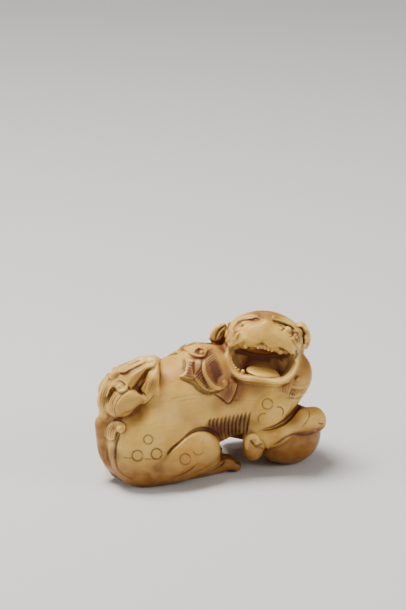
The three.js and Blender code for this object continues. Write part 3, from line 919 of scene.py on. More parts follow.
# %% [markdown]
# The mouth is hollowed out, with an outline that already has the two lobes of the upper
# lip in it. What belongs in the mouth goes back in: the gum, the palate, the tongue and
# the floor. The lower lip is a thin roll whose girth changes along it, and more rolls
# behind it make the jaw.

# %% Mouth
def lip_at(x, y):
    """A point on the lower lip, which comes forward towards the chin."""
    return x, y, 2.3 - 0.5 * y


def lip(rows, width):
    head_roll([lip_at(x, y) for x, y, _ in rows], [girth for _, _, girth in rows], width)


MOUTH = [
    (-6.9, -0.6), (-6, -0.2), (-4.7, 0.4), (-4.2, 0.5), (-3.4, 0.2), (-2.5, -0.1), (-1.7, 0.1),
    (-0.9, 0.3), (-0.4, 0.6), (0.2, 0.3), (1.2, -0.4), (2.1, -0.7), (2.9, -0.4), (3.6, -0.2),
    (4.8, -0.7), (5.9, -1.6), (6.7, -2.5), (6.9, -3.2), (6.5, -4.5), (5.8, -5.8), (4.5, -6.9),
    (3, -7.4), (1.8, -7), (0.5, -6.5), (-0.9, -6.3), (-2.4, -6.5), (-4.6, -6.2), (-5.8, -5.1),
    (-6.5, -3.8), (-6.9, -2.2),
]
hollow(face, MOUTH, 2.1)
head_roll([(-4.8, 0.3, 3.4), (-2.4, 0.3, 4.3), (0.2, 0, 4.6), (2.4, -0.5, 4.3), (4.8, -0.9, 3.4)],
    (0.7, 0.8, 0.8, 0.8, 0.7))
head_egg((0, 0.9, 1.8), (6.4, 2.9, 2.6), 0.3)  # palate
LIP = [  # across, up, girth
    (-7.3, -1, 0.3), (-7.4, -2.6, 0.32), (-7, -4.4, 0.33), (-6.2, -5.8, 0.36),
    (-4.9, -6.8, 0.4), (-3, -7.1, 0.45), (-1.6, -7, 0.52), (-0.4, -7, 0.55),
    (0.9, -7.2, 0.5), (2.3, -7.5, 0.42), (3.6, -7.5, 0.36), (5, -6.9, 0.34),
    (6.1, -5.9, 0.32), (6.85, -4.5, 0.3), (7.2, -3.1, 0.3), (7.25, -1.9, 0.28),
]
INNER_LIP = [
    (-2.2, -6.35, 0.2), (-0.8, -6.45, 0.34), (0.8, -6.85, 0.36), (2.2, -7.2, 0.34),
    (3.8, -7.3, 0.2),
]
for behind in (1, 2, 3, 4):  # the jaw, hidden behind the lip from the front
    rim = [(0.96 * x, 0.95 * y - 0.1, lip_at(x, y)[2] - behind) for x, y, _ in LIP]
    head_roll(rim, (0.4 + 0.12 * behind,) * 2, 0.5)
lip(LIP, 0.4)
head_egg((0.2, -5.75, 3.6), (3.6, 0.75, 2.8), 0.3, (24, 0, -9))  # tongue
head_egg((0.8, -7.2, 3.4), (5, 0.8, 2.2), 0.5)  # floor of the mouth
lip(INNER_LIP, 0.2)
print("mouth outline points:", len(MOUTH))

# %% [markdown]
# The upper teeth are small eggs that hang along a curve. More stand in the lower jaw at
# the left, and a long cut parts the tongue from the lip.

# %% Teeth
TEETH = [  # across, up, half width, half height
    (-3.7, -0.3, 0.52, 0.65), (-2.6, 0, 0.34, 0.5), (-1.1, -0.2, 0.38, 0.75),
    (-0.38, -0.1, 0.36, 0.75), (0.32, -0.2, 0.36, 0.78), (1.03, -0.5, 0.36, 0.75),
    (1.72, -0.8, 0.32, 0.6), (3.5, -1, 0.68, 0.75),
]
for x, y, wide, tall in TEETH:
    head_egg((x, y, 5.1 - 0.06 * x * x), (wide, tall, 0.45), 0.15)
for x, y in ((-6.5, -3.3), (-6.25, -3.9), (-5.9, -4.45), (-5.45, -4.95), (-4.9, -5.35)):
    head_egg((x, y, 1.6 - 0.5 * y), (0.26, 0.22, 0.4), 0.3)
head_egg((-4, -5.7, 4.8), (0.4, 0.5, 0.5), 0.3)
incise(face, [(-3.4, -5.8), (-1.9, -6.4), (0.1, -6.7), (2.1, -6.6), (3.5, -6.3)], 0.35, 0.4, 0.9)
print("teeth:", len(TEETH))

# %% [markdown]
# The muzzle is a pale shield with a crisp upper edge, and its point runs up between the
# eyes. The sockets on both sides are sunk, and brow ridges overhang them.

# %% Muzzle and brows
MUZZLE = [
    (0.1, 5.5, 0.7), (-0.8, 4.8, 0.6), (-2, 4.3, 0.5), (-3.1, 4.1, 0.5), (-4, 3.6, 0.5),
    (-4.6, 2.8, 1.2), (-4.8, 1.8, 1.6), (-4.6, 0.8, 1), (-3.4, 0.4, 0.4), (-2.5, 0, 0.4),
    (-1.7, 0.2, 0.4), (-0.9, 0.4, 0.4), (-0.4, 0.7, 0.4), (0.2, 0.4, 0.4), (1.2, -0.3, 0.4),
    (2.1, -0.5, 0.4), (2.9, -0.3, 0.4), (3.6, -0.1, 0.4), (4.8, -0.6, 0.5), (6.1, -1.5, 0.5),
    (6.8, -2.2, 0.8), (6.7, -0.7, 1.2), (5.8, 0.9, 1.2), (4.7, 2.1, 1.2), (3.6, 2.7, 1),
    (2.5, 3.4, 1), (1.6, 4.2, 0.9), (1, 5, 0.8),
]
LEFT_SOCKET = [
    (-1.4, 5.7, 0.4), (-3.1, 5.4, 0.5), (-4.9, 5, 0.6), (-6, 4.3, 0.6), (-6.5, 3.1, 0.8),
    (-6, 2, 0.8), (-5.1, 2.4, 0.7), (-4.6, 3.3, 0.6), (-3.8, 4.2, 0.5), (-2, 4.5, 0.4),
    (-0.8, 5.1, 0.4),
]
RIGHT_SOCKET = [
    (1.5, 5.3, 0.5), (3, 5.3, 0.5), (4.8, 4.7, 0.5), (6.3, 4, 0.5), (7, 2.9, 0.7),
    (6.5, 1.6, 0.8), (5.4, 1.8, 0.8), (4.1, 2.7, 0.6), (3, 3.3, 0.6), (2.1, 4.2, 0.5),
]
relief(face, LEFT_SOCKET, -0.4)
relief(face, RIGHT_SOCKET, -0.45)
relief(face,
    [(-1.5, 6.6, 1), (0.1, 6.8, 1), (1.8, 6.6, 1), (1.6, 5.7, 0.6), (0.1, 5.6, 0.6),
     (-1.3, 5.8, 0.6)],
    -0.3)
relief(face, MUZZLE, 0.6)
lock(face, [(-1.5, 6.1), (-3.1, 5.9), (-4.9, 5.3), (-6.4, 4.6), (-7.4, 4.3)],
    (0.25, 0.4, 0.45, 0.45, 0.3), 0.4, 0.15)
lock(face, [(1.8, 6.1), (3.1, 5.9), (4.8, 5.1), (6.1, 4.5), (7.3, 4.3)],
    (0.35, 0.42, 0.42, 0.4, 0.3), 0.3, 0.15)
incise(face, [(2.7, 6.4), (4.1, 6.2), (5.4, 5.8), (6.2, 5.3)], 0.22, 0.2, 0.7)
incise(face, [(-3.1, 6.2), (-4.6, 5.8), (-6, 5.1)], 0.2, 0.1, 0.3)
block.settle()
print("muzzle outline points:", len(MUZZLE))

# %% [markdown]
# The left eye is a narrow slit under a heavy lid. The right one is a bulging ball with a
# scroll cut beside it.

# %% Eyes
block.add(egg(face.lay([(-3.6, 4.45)])[0] - 0.2 * face.out, (1.35, 0.6, 0.5)), 0.2)
incise(face, [(-4.7, 4.2), (-4.3, 4.7), (-3.5, 5), (-2.4, 5.1), (-1.5, 5.1)], 0.2, 0.25, 0.9)
incise(face, [(-4.2, 4.3), (-3.5, 4.4), (-2.4, 4.7)], 0.16, 0.15, 0.6)
incise(face, [(-4, 4.6), (-3.9, 4.6), (-3.7, 4.5)], 0.22, 0.2, 1, 0.01)
bead(face, (4.85, 3.27), 0.9, 0.15, 0.25)
incise(face, [(2.5, 4.7), (3.6, 4.7), (4.7, 4.4), (5.8, 3.7), (6.1, 2.8), (5.7, 2.1), (4.8, 1.9)],
    0.28, 0.3, 0.9)
incise(face, [(2.9, 4.2), (3.6, 4.3), (4, 3.8), (3.8, 3.3), (3.3, 3.3), (3.1, 3.6)],
    0.24, 0.3, 1, 0.1)
incise(face, [(3.8, 3.1), (4.4, 2.5), (5.2, 2.3)], 0.2, 0.2, 0.6)
print("eyes cut")

# %% [markdown]
# Folds run down the cheeks from the eyes, as thin raised rolls with cuts beside them.

# %% Cheeks
lock(face, [(-5.2, 2.3), (-5.9, 1.4), (-6.3, 0.4), (-6.9, -0.3)],
    (0.25, 0.32, 0.34, 0.3), 0.5, 0.2)
lock(face, [(-4.4, 0.7), (-5.3, 0.4), (-6.1, -0.1), (-6.9, -0.5)],
    (0.2, 0.26, 0.3, 0.3), 0.4, 0.1)
incise(face, [(-4.6, 3.4), (-5.3, 2.7), (-6, 2), (-6.3, 1.1)], 0.45, 0.25, 0.5)
incise(face, [(6.6, 4.1), (7.1, 3.1), (6.6, 2), (7.2, 0.7)], 0.4, 0.35, 0.7)
incise(face, [(5.9, 1.5), (6.5, 0.4), (7.4, -0.5)], 0.3, 0.2, 0.5)
lock(face, [(3.5, 0), (4.8, -0.4), (6, -1.3), (6.8, -2.4), (7.3, -3.4)],
    (0.25, 0.32, 0.35, 0.35, 0.3), 0.25, 0.05)
incise(face, [(-5.1, 2.7), (-5.3, 1.5), (-5.8, 0.7)], 0.3, 0.15, 0.4)
print("cheeks folded")

# %% [markdown]
# The ears are already on the head as lumps. Cuts shape the hollow of each, and a roll of
# hair frames it.

# %% Ears
incise(face, [(-8.2, 3.7), (-9.1, 3), (-9.7, 2), (-10, 0.6)], 0.4, 0.6, 1)
incise(face, [(-7.8, 3.5), (-7.5, 2.5), (-7.8, 1.3), (-8.5, 0.2)], 0.4, 0.35, 0.6)
incise(face, [(-8.6, 2.4), (-9, 1.5), (-9.5, 0.6)], 0.2, 0.2, 0.5)
incise(face, [(7.2, 4.2), (7.9, 3.9), (8.4, 3.1), (8.2, 2.2), (8.5, 1.2), (8.3, 0.2)],
    0.4, 0.5, 1)
incise(face, [(6.8, 3.3), (7.2, 2.4), (7.6, 1.1), (8.3, -0.2)], 0.4, 0.3, 0.5)
block.settle()
for spot, size in (((8.75, 3.45), 0.55), ((8.7, 1.7), 0.7), ((9.2, 0.7), 0.5)):
    bead(face, spot, size, 0.4, 0.25)
lock(face, [(7.9, 4.5), (8.9, 3.7), (9.5, 2.5), (9.6, 1.3), (9.2, 0.1)],
    (0.3, 0.4, 0.4, 0.4, 0.3), 0.3, 0.1)
lock(face, [(-8.3, 4), (-9.5, 3.4), (-10.5, 2.4), (-11.1, 0.9)], (0.3, 0.4, 0.4, 0.3), 0.3, 0.1)
print("ears cut")

# %% [markdown]
# The mane lies on the ruff in flat scrolled locks, each a crescent with a bead at its end
# and a fan of hairs. On the near side there are three in a row, then a pointed fringe. The
# far flank has the same locks without the finest hairs, since nobody looks at it first.

# %% Outlines of the mane
LEAF = [
    (-3.3, 22.1, 0.3), (-3, 21.1, 0.4), (-3.1, 20.3, 0.4), (-3.5, 19.2, 0.3), (-4.5, 18.4, 0.2),
    (-3.2, 18.2, 0.3), (-1.9, 17.9, 0.3), (-1.4, 18.1, 0.3), (-1.6, 19.5, 0.3), (-1.7, 20.8, 0.4),
    (-1.4, 22, 0.4), (-2.4, 22.3, 0.4),
]
SCALLOP = [
    (-1.4, 22, 0.3), (-1.6, 20.8, 0.3), (-1.5, 19.5, 0.3), (-1.5, 18.1, 0.3), (-0.8, 16.9, 0.3),
    (0.2, 15.9, 0.3), (1.1, 15.5, 0.3), (2.2, 15.3, 0.3), (3.1, 15.6, 0.4), (1.7, 16.8, 0.5),
    (0.8, 17.9, 0.5), (0.3, 19.1, 0.5), (0.2, 20.4, 0.5), (0.3, 21.6, 0.5), (-0.2, 22.1, 0.4),
]
CRESCENT = [
    (0.3, 21.8, 0.4), (0.1, 20.4, 0.4), (0.3, 19, 0.4), (0.9, 17.7, 0.4), (1.6, 16.6, 0.4),
    (2.4, 15.9, 0.4), (3.3, 15.6, 0.4), (4.4, 15.9, 0.4), (5.5, 16.8, 1.5), (5.5, 18.5, 3),
    (5.2, 20.2, 3), (4.4, 22.1, 3), (3.5, 23.5, 3), (2.2, 23.2, 2), (1, 22.5, 1),
]
UNDER_MANE = [
    (-4.4, 17.9), (-2.9, 17.4), (-1.6, 16.7), (-0.6, 15.7), (0.6, 15.1), (2.2, 15), (3.5, 15.3),
]
LAPPET = [
    (2.9, 15.4, 1), (2.2, 15.1, 0.4), (3.1, 14.6, 0.3), (4, 14, 0.3), (4.9, 13.3, 0.3),
    (5.6, 12.9, 0.2), (6.2, 13.4, 0.3), (6.8, 14.5, 0.3), (7.2, 15.7, 0.3), (7.6, 17.2, 0.5),
    (6.3, 18.1, 1), (4.6, 16.4, 1),
]
FIRST_LOCK = [
    (-0.6, 25.1, 0.4), (-1.6, 24.8, 0.5), (-2.5, 24.3, 0.5), (-2.9, 23.7, 0.5), (-2.6, 23.1, 0.4),
    (-1.8, 22.6, 0.4), (-0.8, 22.3, 0.4), (0.2, 22.3, 0.4), (0.9, 22.6, 0.4), (1.3, 23.3, 0.5),
    (1.3, 24.3, 0.8), (0.6, 24.8, 0.8),
]
print("outlines in the mane: 5")

# %% [markdown]
# They are raised, the first lock is hollowed in its middle, and thin rolls edge the
# crescent and the leaf. Then the lower edge of the mane is cut deep.

# %% Locks of the mane
for panel in (near, far):
    relief(panel, LEAF, 0.35)
    relief(panel, SCALLOP, 0.35)
    relief(panel, CRESCENT, 0.45)
    relief(panel, LAPPET, 0.2)
    relief(panel, FIRST_LOCK, 0.4)
    relief(panel,
        [(-1.4, 23.9, 0.6), (-0.7, 24.4, 0.6), (0.2, 24.4, 0.6), (0.8, 23.9, 0.5),
         (0.2, 23.6, 0.5), (-0.1, 23, 0.5), (-0.9, 23, 0.6), (-1.5, 23.3, 0.6)],
        -0.3)
    lock(panel,
        [(0.6, 21.6), (0.5, 20.4), (0.7, 19), (1.3, 17.8), (2, 16.8), (2.9, 16.1), (3.8, 16),
         (4.7, 16.2)],
        (0.3, 0.44, 0.5, 0.52, 0.52, 0.46, 0.34, 0.12), 0.15)
    lock(panel, [(-3.3, 22.1), (-3, 21), (-3.1, 20.2), (-3.5, 19.2), (-4.4, 18.4)],
        (0.2, 0.28, 0.28, 0.24, 0.12), 0.15)
    lock(panel, [(-4.4, 18.4), (-3.2, 18.2), (-1.9, 17.9)], (0.12, 0.22, 0.16), 0.15)
    incise(panel, UNDER_MANE, 0.4, 0.35, 0.7)
    incise(panel, [(2.2, 15.1), (3.1, 14.6), (4, 14), (4.9, 13.2)], 0.26, 0.25, 0.8, 0.1)
    incise(panel,
        [(4.8, 13.3), (5.2, 12.9), (5.7, 12.9), (6.1, 13.2), (6.8, 14.4), (7.3, 15.7),
         (7.6, 17.2)],
        0.28, 0.28, 0.8, 0.1)
    bead(panel, (4.64, 17.11), 0.75, 0.15, 0.2)
bead(near, (0.09, 23.32), 0.6)
print("locks of the mane on each flank: 4")

# %% [markdown]
# Each lock gets its fan of hairs. The far flank has 0.6 of the near one's number.

# %% Hairs of the mane
for panel, share in ((near, 1), (far, 0.6)):
    comb(panel, [(0.9, 21.5), (1.9, 22.4), (3.3, 23.4)],
        [(2.9, 16.7), (3.3, 18.1), (4.8, 19.5)], round(10 * share), 0.28, 0.42, 1, 0.3)
    comb(panel, [(-1.4, 18.5), (-0.6, 19.5), (0.1, 20.2)],
        [(1.4, 15.5), (1.6, 15.8), (1.8, 16)], round(9 * share), 0.26, 0.36, 0.9, 0.2)
    comb(panel, [(0.7, 23), (1.7, 23.9), (2.7, 24.7)],
        [(0.6, 22.2), (1.7, 22.9), (2.9, 23.8)], round(4 * share), 0.24, 0.3, 0.8)
    comb(panel, [(-2.7, 21.6), (-2.1, 21.3), (-1.5, 21.3)],
        [(-3.7, 18.7), (-2.7, 18.5), (-1.7, 18.2)], round(6 * share), 0.22, 0.2, 0.5)
    incise(panel, [(-3.9, 22.3), (-3.6, 21.4), (-3.6, 20.4), (-3.8, 19.7)], 0.4, 0.15, 0.35)
    incise(panel, [(-0.6, 24.4), (-0.5, 23.8), (-0.6, 23.2)], 0.35, 0.25, 0.5)
    comb(panel, [(5.6, 17.8), (5.5, 16), (5.3, 14.7)],
        [(7.1, 17.1), (6.9, 15.9), (6.2, 14.5)], 3, 0.2, 0.08, 0.3)
block.settle()
print("hairs cut on each flank")

# %% [markdown]
# Below the chin hangs one more curled lock, on the near side only, with hairs under it.

# %% Lock below the chin
bead(near, (20, 18), 0.7)
lock(near, [(18.3, 17.4), (18.9, 16.5), (20, 16.2), (21.3, 16.3), (22.3, 16.9)],
    (0.2, 0.4, 0.45, 0.42, 0.3), 0.2, 0.1)
comb(near, [(19, 16), (18.6, 15.2), (18.2, 14.3)],
    [(22.6, 16.3), (22.2, 15.4), (21.8, 14.6)], 8, 0.24, 0.35, 0.9, 0.2)
incise(near, [(17.5, 13.9), (18.4, 14.1), (19.6, 13.9), (20.7, 14.1), (21.7, 14.6)],
    0.28, 0.25, 0.7)
comb(near, [(18.2, 17), (18, 15.4), (17.3, 13.8)],
    [(16.8, 17.2), (17, 15.8), (16.6, 14.6)], 3, 0.25, 0.15, 0.5)
block.settle()
print("lock below the chin cut")

# %% [markdown]
# The mane goes on over the back of the head and round its far side. Those places face
# other ways, so each has a panel of its own, and one function draws a whole curled lock.

# %% Mane behind the head
def facing(azimuth):
    """An upright panel that faces this way: 0 is -Y, 90 is +X."""
    angle = math.radians(azimuth)
    across = (math.cos(angle), math.sin(angle), 0)
    return Panel(across, (math.sin(angle), -math.cos(angle), 0), (0, 0, 1))


SCROLL = [  # across, up, slope width
    (-1.9, 2.6, 0.5), (-2.2, 0.8, 0.4), (-1.6, -1, 0.4), (-0.2, -2.1, 0.4), (1.4, -2.1, 0.4),
    (2.6, -0.9, 0.6), (2.6, 1.2, 1.5), (1.6, 3, 2), (-0.4, 3.6, 1.5),
]


def scroll(panel, a, b, size):
    """A curled lock with a bead in it and hairs behind."""
    def at(*points):
        return [(a + size * x, b + size * y) for x, y in points]

    relief(panel, [(a + size * x, b + size * y, slope) for x, y, slope in SCROLL], 0.4)
    spine = at((-1.7, 2.3), (-1.9, 0.7), (-1.3, -0.9), (0, -1.8), (1.4, -1.6))
    lock(panel, spine, (0.3, 0.45, 0.5, 0.45, 0.25), 0.2)
    root, tip = at((-1.3, 1.6), (-0.2, 2.4), (1, 3)), at((0.2, -1.3), (0.9, -0.6), (1.9, 0.8))
    comb(panel, root, tip, 6, 0.26, 0.32, 0.8)
    bead(panel, at((1.5, -0.9))[0], 0.6 * size)


BEHIND = [(-17.4, 25.6), (-12.2, 24.8), (-7.2, 23.2), (-19, 18.6), (-13.8, 17.4)]
BESIDE = [(0.4, 25), (-2.4, 18.4), (3.2, 18.8)]
for azimuth, places in ((180, BEHIND), (105, BESIDE)):
    for a, b in places:
        scroll(facing(azimuth), a, b, 1.15)
        block.settle()
print("locks behind and beside the head:", len(BEHIND) + len(BESIDE))

# %% [markdown]
# The flank is left smooth, with a few marks cut in it. Little rings stand for a spotted
# coat. Some of them were never closed.

# %% Rings
RINGS = [
    (-10.9, 5.5, 0.93), (-13.1, 2.2, 1.1), (-9.2, 2.55, 1.1), (-3.3, 1.45, 1.12),
    (13.7, 12.8, 1.1),
]
for x, y, radius in RINGS:
    ring(near, (x, y), radius)
for x, y, radius in RINGS[:3]:
    ring(far, (x, y), radius)
ring(near, (-0.6, 3.4), 1.1, 185, 350, 0.3, 0.12, 0.6)
ring(near, (13, 9.6), 1.25, 60, 215, 0.22, 0.14, 0.8)
ring(near, (16, 11.1), 1.1, -55, 120, 0.24, 0.16, 1)
incise(near, [(-16.3, 1.9), (-15.2, 1.7), (-14.2, 1.7)], 0.2, 0.1, 0.8)
incise(near, [(-12, 1.6), (-11, 1.5), (-10.1, 1.5)], 0.2, 0.1, 0.8)
print("rings on the near flank:", len(RINGS) + 3)

# %% [markdown]
# Ribs show between the thigh and the elbow, as a fan of deep cuts, and age cracks run
# along the grain.

# %% Ribs and cracks
comb(near, [(10.15, 11.3), (9.5, 8.6), (9.2, 6)],
    [(4.3, 10.2), (4, 7.8), (4.6, 4.7)], 8, 0.3, 0.5, 1, 0.2)
comb(near, [(3.5, 10), (3.2, 8.8), (3.4, 7.2)],
    [(1.9, 9.7), (1.65, 9), (1.6, 8)], 3, 0.3, 0.5, 1, 0.2)
comb(far, [(9, 11), (8.6, 9.2), (8.4, 7)], [(4, 9.8), (3.7, 8.6), (3.6, 7.6)], 4, 0.36, 0.4, 0.8)

CRACKS = [
    [(-11.7, 8), (-10.2, 8.5), (-8.4, 9.2)],
    [(-7.3, 13.4), (-5.4, 14), (-3.4, 14.4), (-1.2, 14.6), (0.6, 14.9)],
    [(-5.4, 12.9), (-3, 13.6), (-1, 14)], [(6, 13.5), (9, 13.6), (12.4, 13.4)],
]
for crack in CRACKS:
    incise(near, crack, 0.16, 0.06, 0.45)
block.settle()
print("ribs: 11 near, 4 far; cracks:", len(CRACKS))

# %% [markdown]
# A netsuke is worn on a cord. Its two holes are on the far flank, joined by a curved bore.

# %% Cord holes
cord = [(-7, 12, 12), (-5.6, 8, 12), (-2, 6, 12), (1.6, 8, 12), (3, 12, 12)]
block.cut(roll(cord, (1.5, 1.5)), 0.4)
print("bore, mm across:", 3)

# %% [markdown]
# The grid becomes a mesh where its distance is zero. That gives a fine, even net of small
# squares, more than the piece needs on its smooth flanks, so a Decimate modifier takes
# points away where the surface is nearly flat and leaves them in the carving.

# %% Mesh
heights = (block.low[2] + CELL * np.arange(block.value.shape[2])).astype(np.float32)
block.value = np.maximum(block.value, -heights)  # flat where it stands on the ground
grid = openvdb.FloatGrid(background=1)
grid.copyFromArray(np.clip(block.value, -1, 1))
points, quads = grid.convertToQuads(isovalue=0)
print("surface:", len(points), "points,", len(quads), "quads")
points = points * CELL + block.low

mesh = bpy.data.meshes.new("netsuke_ivory")
mesh.from_pydata((points * MM + np.array(origin)).tolist(), [], quads[:, ::-1].tolist())
mesh.update()
piece = bpy.data.objects.new("carved_ivory", mesh)
bpy.context.scene.collection.objects.link(piece)

MOST_TRIANGLES = 195_000

thin = piece.modifiers.new("fewer triangles", "DECIMATE")
thin.ratio = min(1, MOST_TRIANGLES / (2 * len(quads)))
depsgraph = bpy.context.evaluated_depsgraph_get()
small = bpy.data.meshes.new_from_object(piece.evaluated_get(depsgraph))
piece.modifiers.clear()
piece.data = small
small.shade_smooth()
print("mesh:", len(small.polygons), "faces")

# %% [markdown]
# Old ivory gets its colour from handling. Stain sits where fingers never reach and in
# every cut line, and the high places are rubbed pale. The grid knows all of that: a little
# way out from a point in a hollow the surface is still near, and out from a ridge it is
# further away than the step. Three steps find the cut lines, the gaps between locks and
# the wide hollows. The darkening that this gives the hollows is stain and painted shade
# together. These measures are stored on the mesh's points, for the material.

# %% Measures for the stain and the painted shade
HOLLOWS = [(0.4, 0.06, 0.7), (0.9, 0.1, 0.9), (1.8, 0.18, 0.8)]  # step, let off, weight
DEPTH_OF_WEAR = 0.7

spots = np.empty(3 * len(small.vertices), np.float32)
small.vertices.foreach_get("co", spots)
spots = (spots.reshape(-1, 3) - np.array(origin)) / MM
ways = block.slope(spots)


def openness(step):
    """How free the way out is: 1 over flat ground, less in a hollow."""
    return np.clip(block.sample(spots + step * ways) / step, -0.2, 1.5)


def store(name, values):
    layer = small.attributes.new(name, "FLOAT", "POINT")
    layer.data.foreach_set("value", np.clip(values, 0, 2).astype(np.float32))


# Darkness in the hollows: stain, and painted shade like ambient occlusion.
stain_and_shade_in_hollows = sum(
    weight * np.clip(1 - openness(step) - let_off, 0, 1) for step, let_off, weight in HOLLOWS
)
buried = 1 + block.sample(spots - DEPTH_OF_WEAR * ways) / DEPTH_OF_WEAR  # more on a ridge
store("stain_and_shade_in_hollows", stain_and_shade_in_hollows)
store("ink", block.sample(spots, block.ink))
print("recess, mean:", round(float(np.clip(stain_and_shade_in_hollows, 0, 1).mean()), 3))

# %% [markdown]
# Besides what the shape gives, handling leaves broad patches: amber where the piece was
# held and where it stands, wine brown in the mane, the tail and the mouth, and dark umber
# between the ribs. Painted shade is laid in the same way: darker amber low down, and umber
# under the paw, under the belly and in the mouth. A dab is a soft round patch around one
# place on a panel. In a table of dabs each row says: across, up, radius, how wide the soft
# edge is, and how strong.

# %% Dabs and patches
def inside(form, soft):
    """1 deep inside a form, falling to 0 at its skin over `soft` millimetres."""
    return np.clip(-form.distance(*spots.T) / soft, 0, 1)


def near_ground(height, soft):
    """1 at the ground, falling to 0 at `height`, where `soft` says over how much."""
    return np.clip((height - spots[:, 2]) / soft, 0, 1)


def dabs(panel, table):
    return [
        strength * inside(egg(panel.lay([(a, b)])[0], (radius,) * 3), soft)
        for a, b, radius, soft, strength in table
    ]


def strongest(patches):
    return np.max(np.stack(patches), axis=0)


mouth = egg((0, -3.2, 2.8), (7, 4, 3.4), place=head_place)
# The place under the upper teeth, where a shadow is painted.
shadow_under_teeth = egg((0, -1.6, 1.4), (6.6, 1.7, 3.4), place=head_place)
tongue = egg((0.2, -5.75, 3.6), (3.6, 0.75, 2.8), (24, 0, -9), head_place)
around_ball = inside(egg(BALL_AT, [1.25 * half for half in BALL_SIZE]), 1.2)
print("points in the mouth:", int((inside(mouth, 0.8) > 0).sum()))

# %% [markdown]
# Wine brown lies deepest in the mane and the tail, and in the mouth.

# %% Wine stain
WINE_FACE = [
    (6.6, 2.4, 2.2, 1.2, 1), (-6.6, 2.6, 1.9, 1.2, 0.7), (-9.4, 2.2, 1.5, 0.8, 0.5),
    (-1.8, 5.6, 1.8, 1.4, 0.5), (9, -6.5, 3.4, 2, 0.8),
]
WINE_NEAR = [(18, 15.6, 3.6, 2, 1), (19, 9.6, 2.4, 1.8, 0.7), (-18.6, 8.4, 2.6, 1.8, 0.7)]
WINE_MANE = [
    (1, 23.6, 4.6, 2.5, 0.8), (3.2, 19.5, 4.6, 2.5, 1), (-1.6, 19.6, 3.2, 1.8, 0.8),
    (6.4, 15.6, 4.2, 1.6, 1), (4.6, 24.6, 4, 2.5, 0.7),
]
WINE_TAIL = [
    (-15.6, 18.8, 2.6, 1.6, 1), (-12.4, 17.8, 3.2, 1.8, 1), (-18.6, 14.4, 3.6, 2, 0.4),
    (-13.6, 10.6, 3.4, 2.2, 0.9), (-16.8, 10.8, 2.6, 1.6, 0.8), (-19.2, 11.2, 2.4, 1.4, 0.5),
]

wine = [0.8 * inside(mouth, 0.8)] + dabs(face, WINE_FACE) + dabs(near, WINE_NEAR)
wine += dabs(near, WINE_MANE) + dabs(far, WINE_MANE)
wine += dabs(near, WINE_TAIL) + dabs(tail_far, WINE_TAIL)
print("patches of wine:", len(wine))
wine = strongest(wine)
store("wine", wine)

# %% [markdown]
# Umber is the darkest. It fills the gaps between the ribs as stain. Inside the mouth,
# towards the ground, on the ball under the paw and in the hollow under the belly it is
# painted shade, with a painted shadow under the upper teeth, but it leaves the tongue bare.

# %% Umber stain and painted shade
UMBER_RIBS = [(x, 7.3 + 0.1 * x, 2.9, 1.8, 1) for x in (2.4, 4.4, 6.4, 8.6)]
UMBER_FACE = [(-6.4, 2.8, 1.1, 1, 0.6), (7.6, 2.7, 1.1, 1, 0.7), (-9, 2.5, 0.9, 0.8, 0.5)]
# The second and third rows are painted shade, under the paw on the ball and in the hollow under
# the belly. The others are stain.
UMBER_AND_SHADE_NEAR = [
    (5.5, 15.3, 1.7, 1.2, 0.6), (16.5, 4.6, 2.6, 1.8, 0.7), (6, 4.8, 3, 1.5, 1),
    (-17.9, 2.6, 2.2, 1.4, 0.8), (-17.7, 5.2, 1.6, 1.2, 0.6),
]

off_tongue = np.clip(tongue.distance(*spots.T) / 0.4, 0, 1)
# Painted shade inside the mouth, off the tongue, and a painted shadow under the upper teeth.
umber_and_shade = [off_tongue * 0.5 * inside(mouth, 0.5), 1.7 * inside(shadow_under_teeth, 0.7)]
# Painted shade: darker towards the ground, and on the ball under the paw.
umber_and_shade += [0.4 * near_ground(3.5, 3.5), 0.2 * around_ball]
umber_and_shade += dabs(near, UMBER_RIBS) + dabs(far, UMBER_RIBS)
umber_and_shade += dabs(face, UMBER_FACE) + dabs(near, UMBER_AND_SHADE_NEAR)
store("umber_and_shade", strongest(umber_and_shade))
print("patches of umber:", len(umber_and_shade))

# %% [markdown]
# Honey is the broad amber of handling. It is strongest low down, on the ball and on the
# feet, and low down on the haunches and the feet it is painted shade as well. Last come
# the pale places: the ridges, rubbed by wear, and two painted highlights on the flank and
# the shoulder.

# %% Honey stain with painted shade low down, wear and painted highlights
HONEY_BOTH = [(-15.6, 15.4, 8, 3, 0.3), (2.4, 20.6, 7, 3, 0.5)]
HONEY_FACE = [(0.3, 6.6, 5, 2.4, 0.9), (8.4, -2.5, 4.5, 3, 0.7)]
HONEY_NEAR = [
    (11.6, 16.8, 3.6, 2.4, 0.8), (20.6, 12.2, 3, 2, 0.8), (11.4, 8.4, 2.4, 2, 0.6),
    (12.4, 2.6, 3.2, 2, 0.9), (3.4, 12.6, 2.6, 2, 0.6), (-20, 2, 4.5, 2, 1),
    (-20.6, 7, 4, 2, 0.9), (18.6, 9.6, 3, 2, 0.6), (-8.6, 18, 2.6, 1.6, 0.7),
    (5.6, 14.6, 2.4, 1.6, 0.9), (-12.5, 12, 3.4, 2.2, 0.7), (-10, 16, 2.6, 1.8, 0.6),
    (14.8, 6.4, 2.2, 1.6, 0.3),
]
# Painted highlights on the flank and on the shoulder.
PAINTED_HIGHLIGHT_NEAR = [(-3, 12.6, 3.5, 4, 0.7), (14.8, 10.4, 2.4, 2.4, 0.7)]

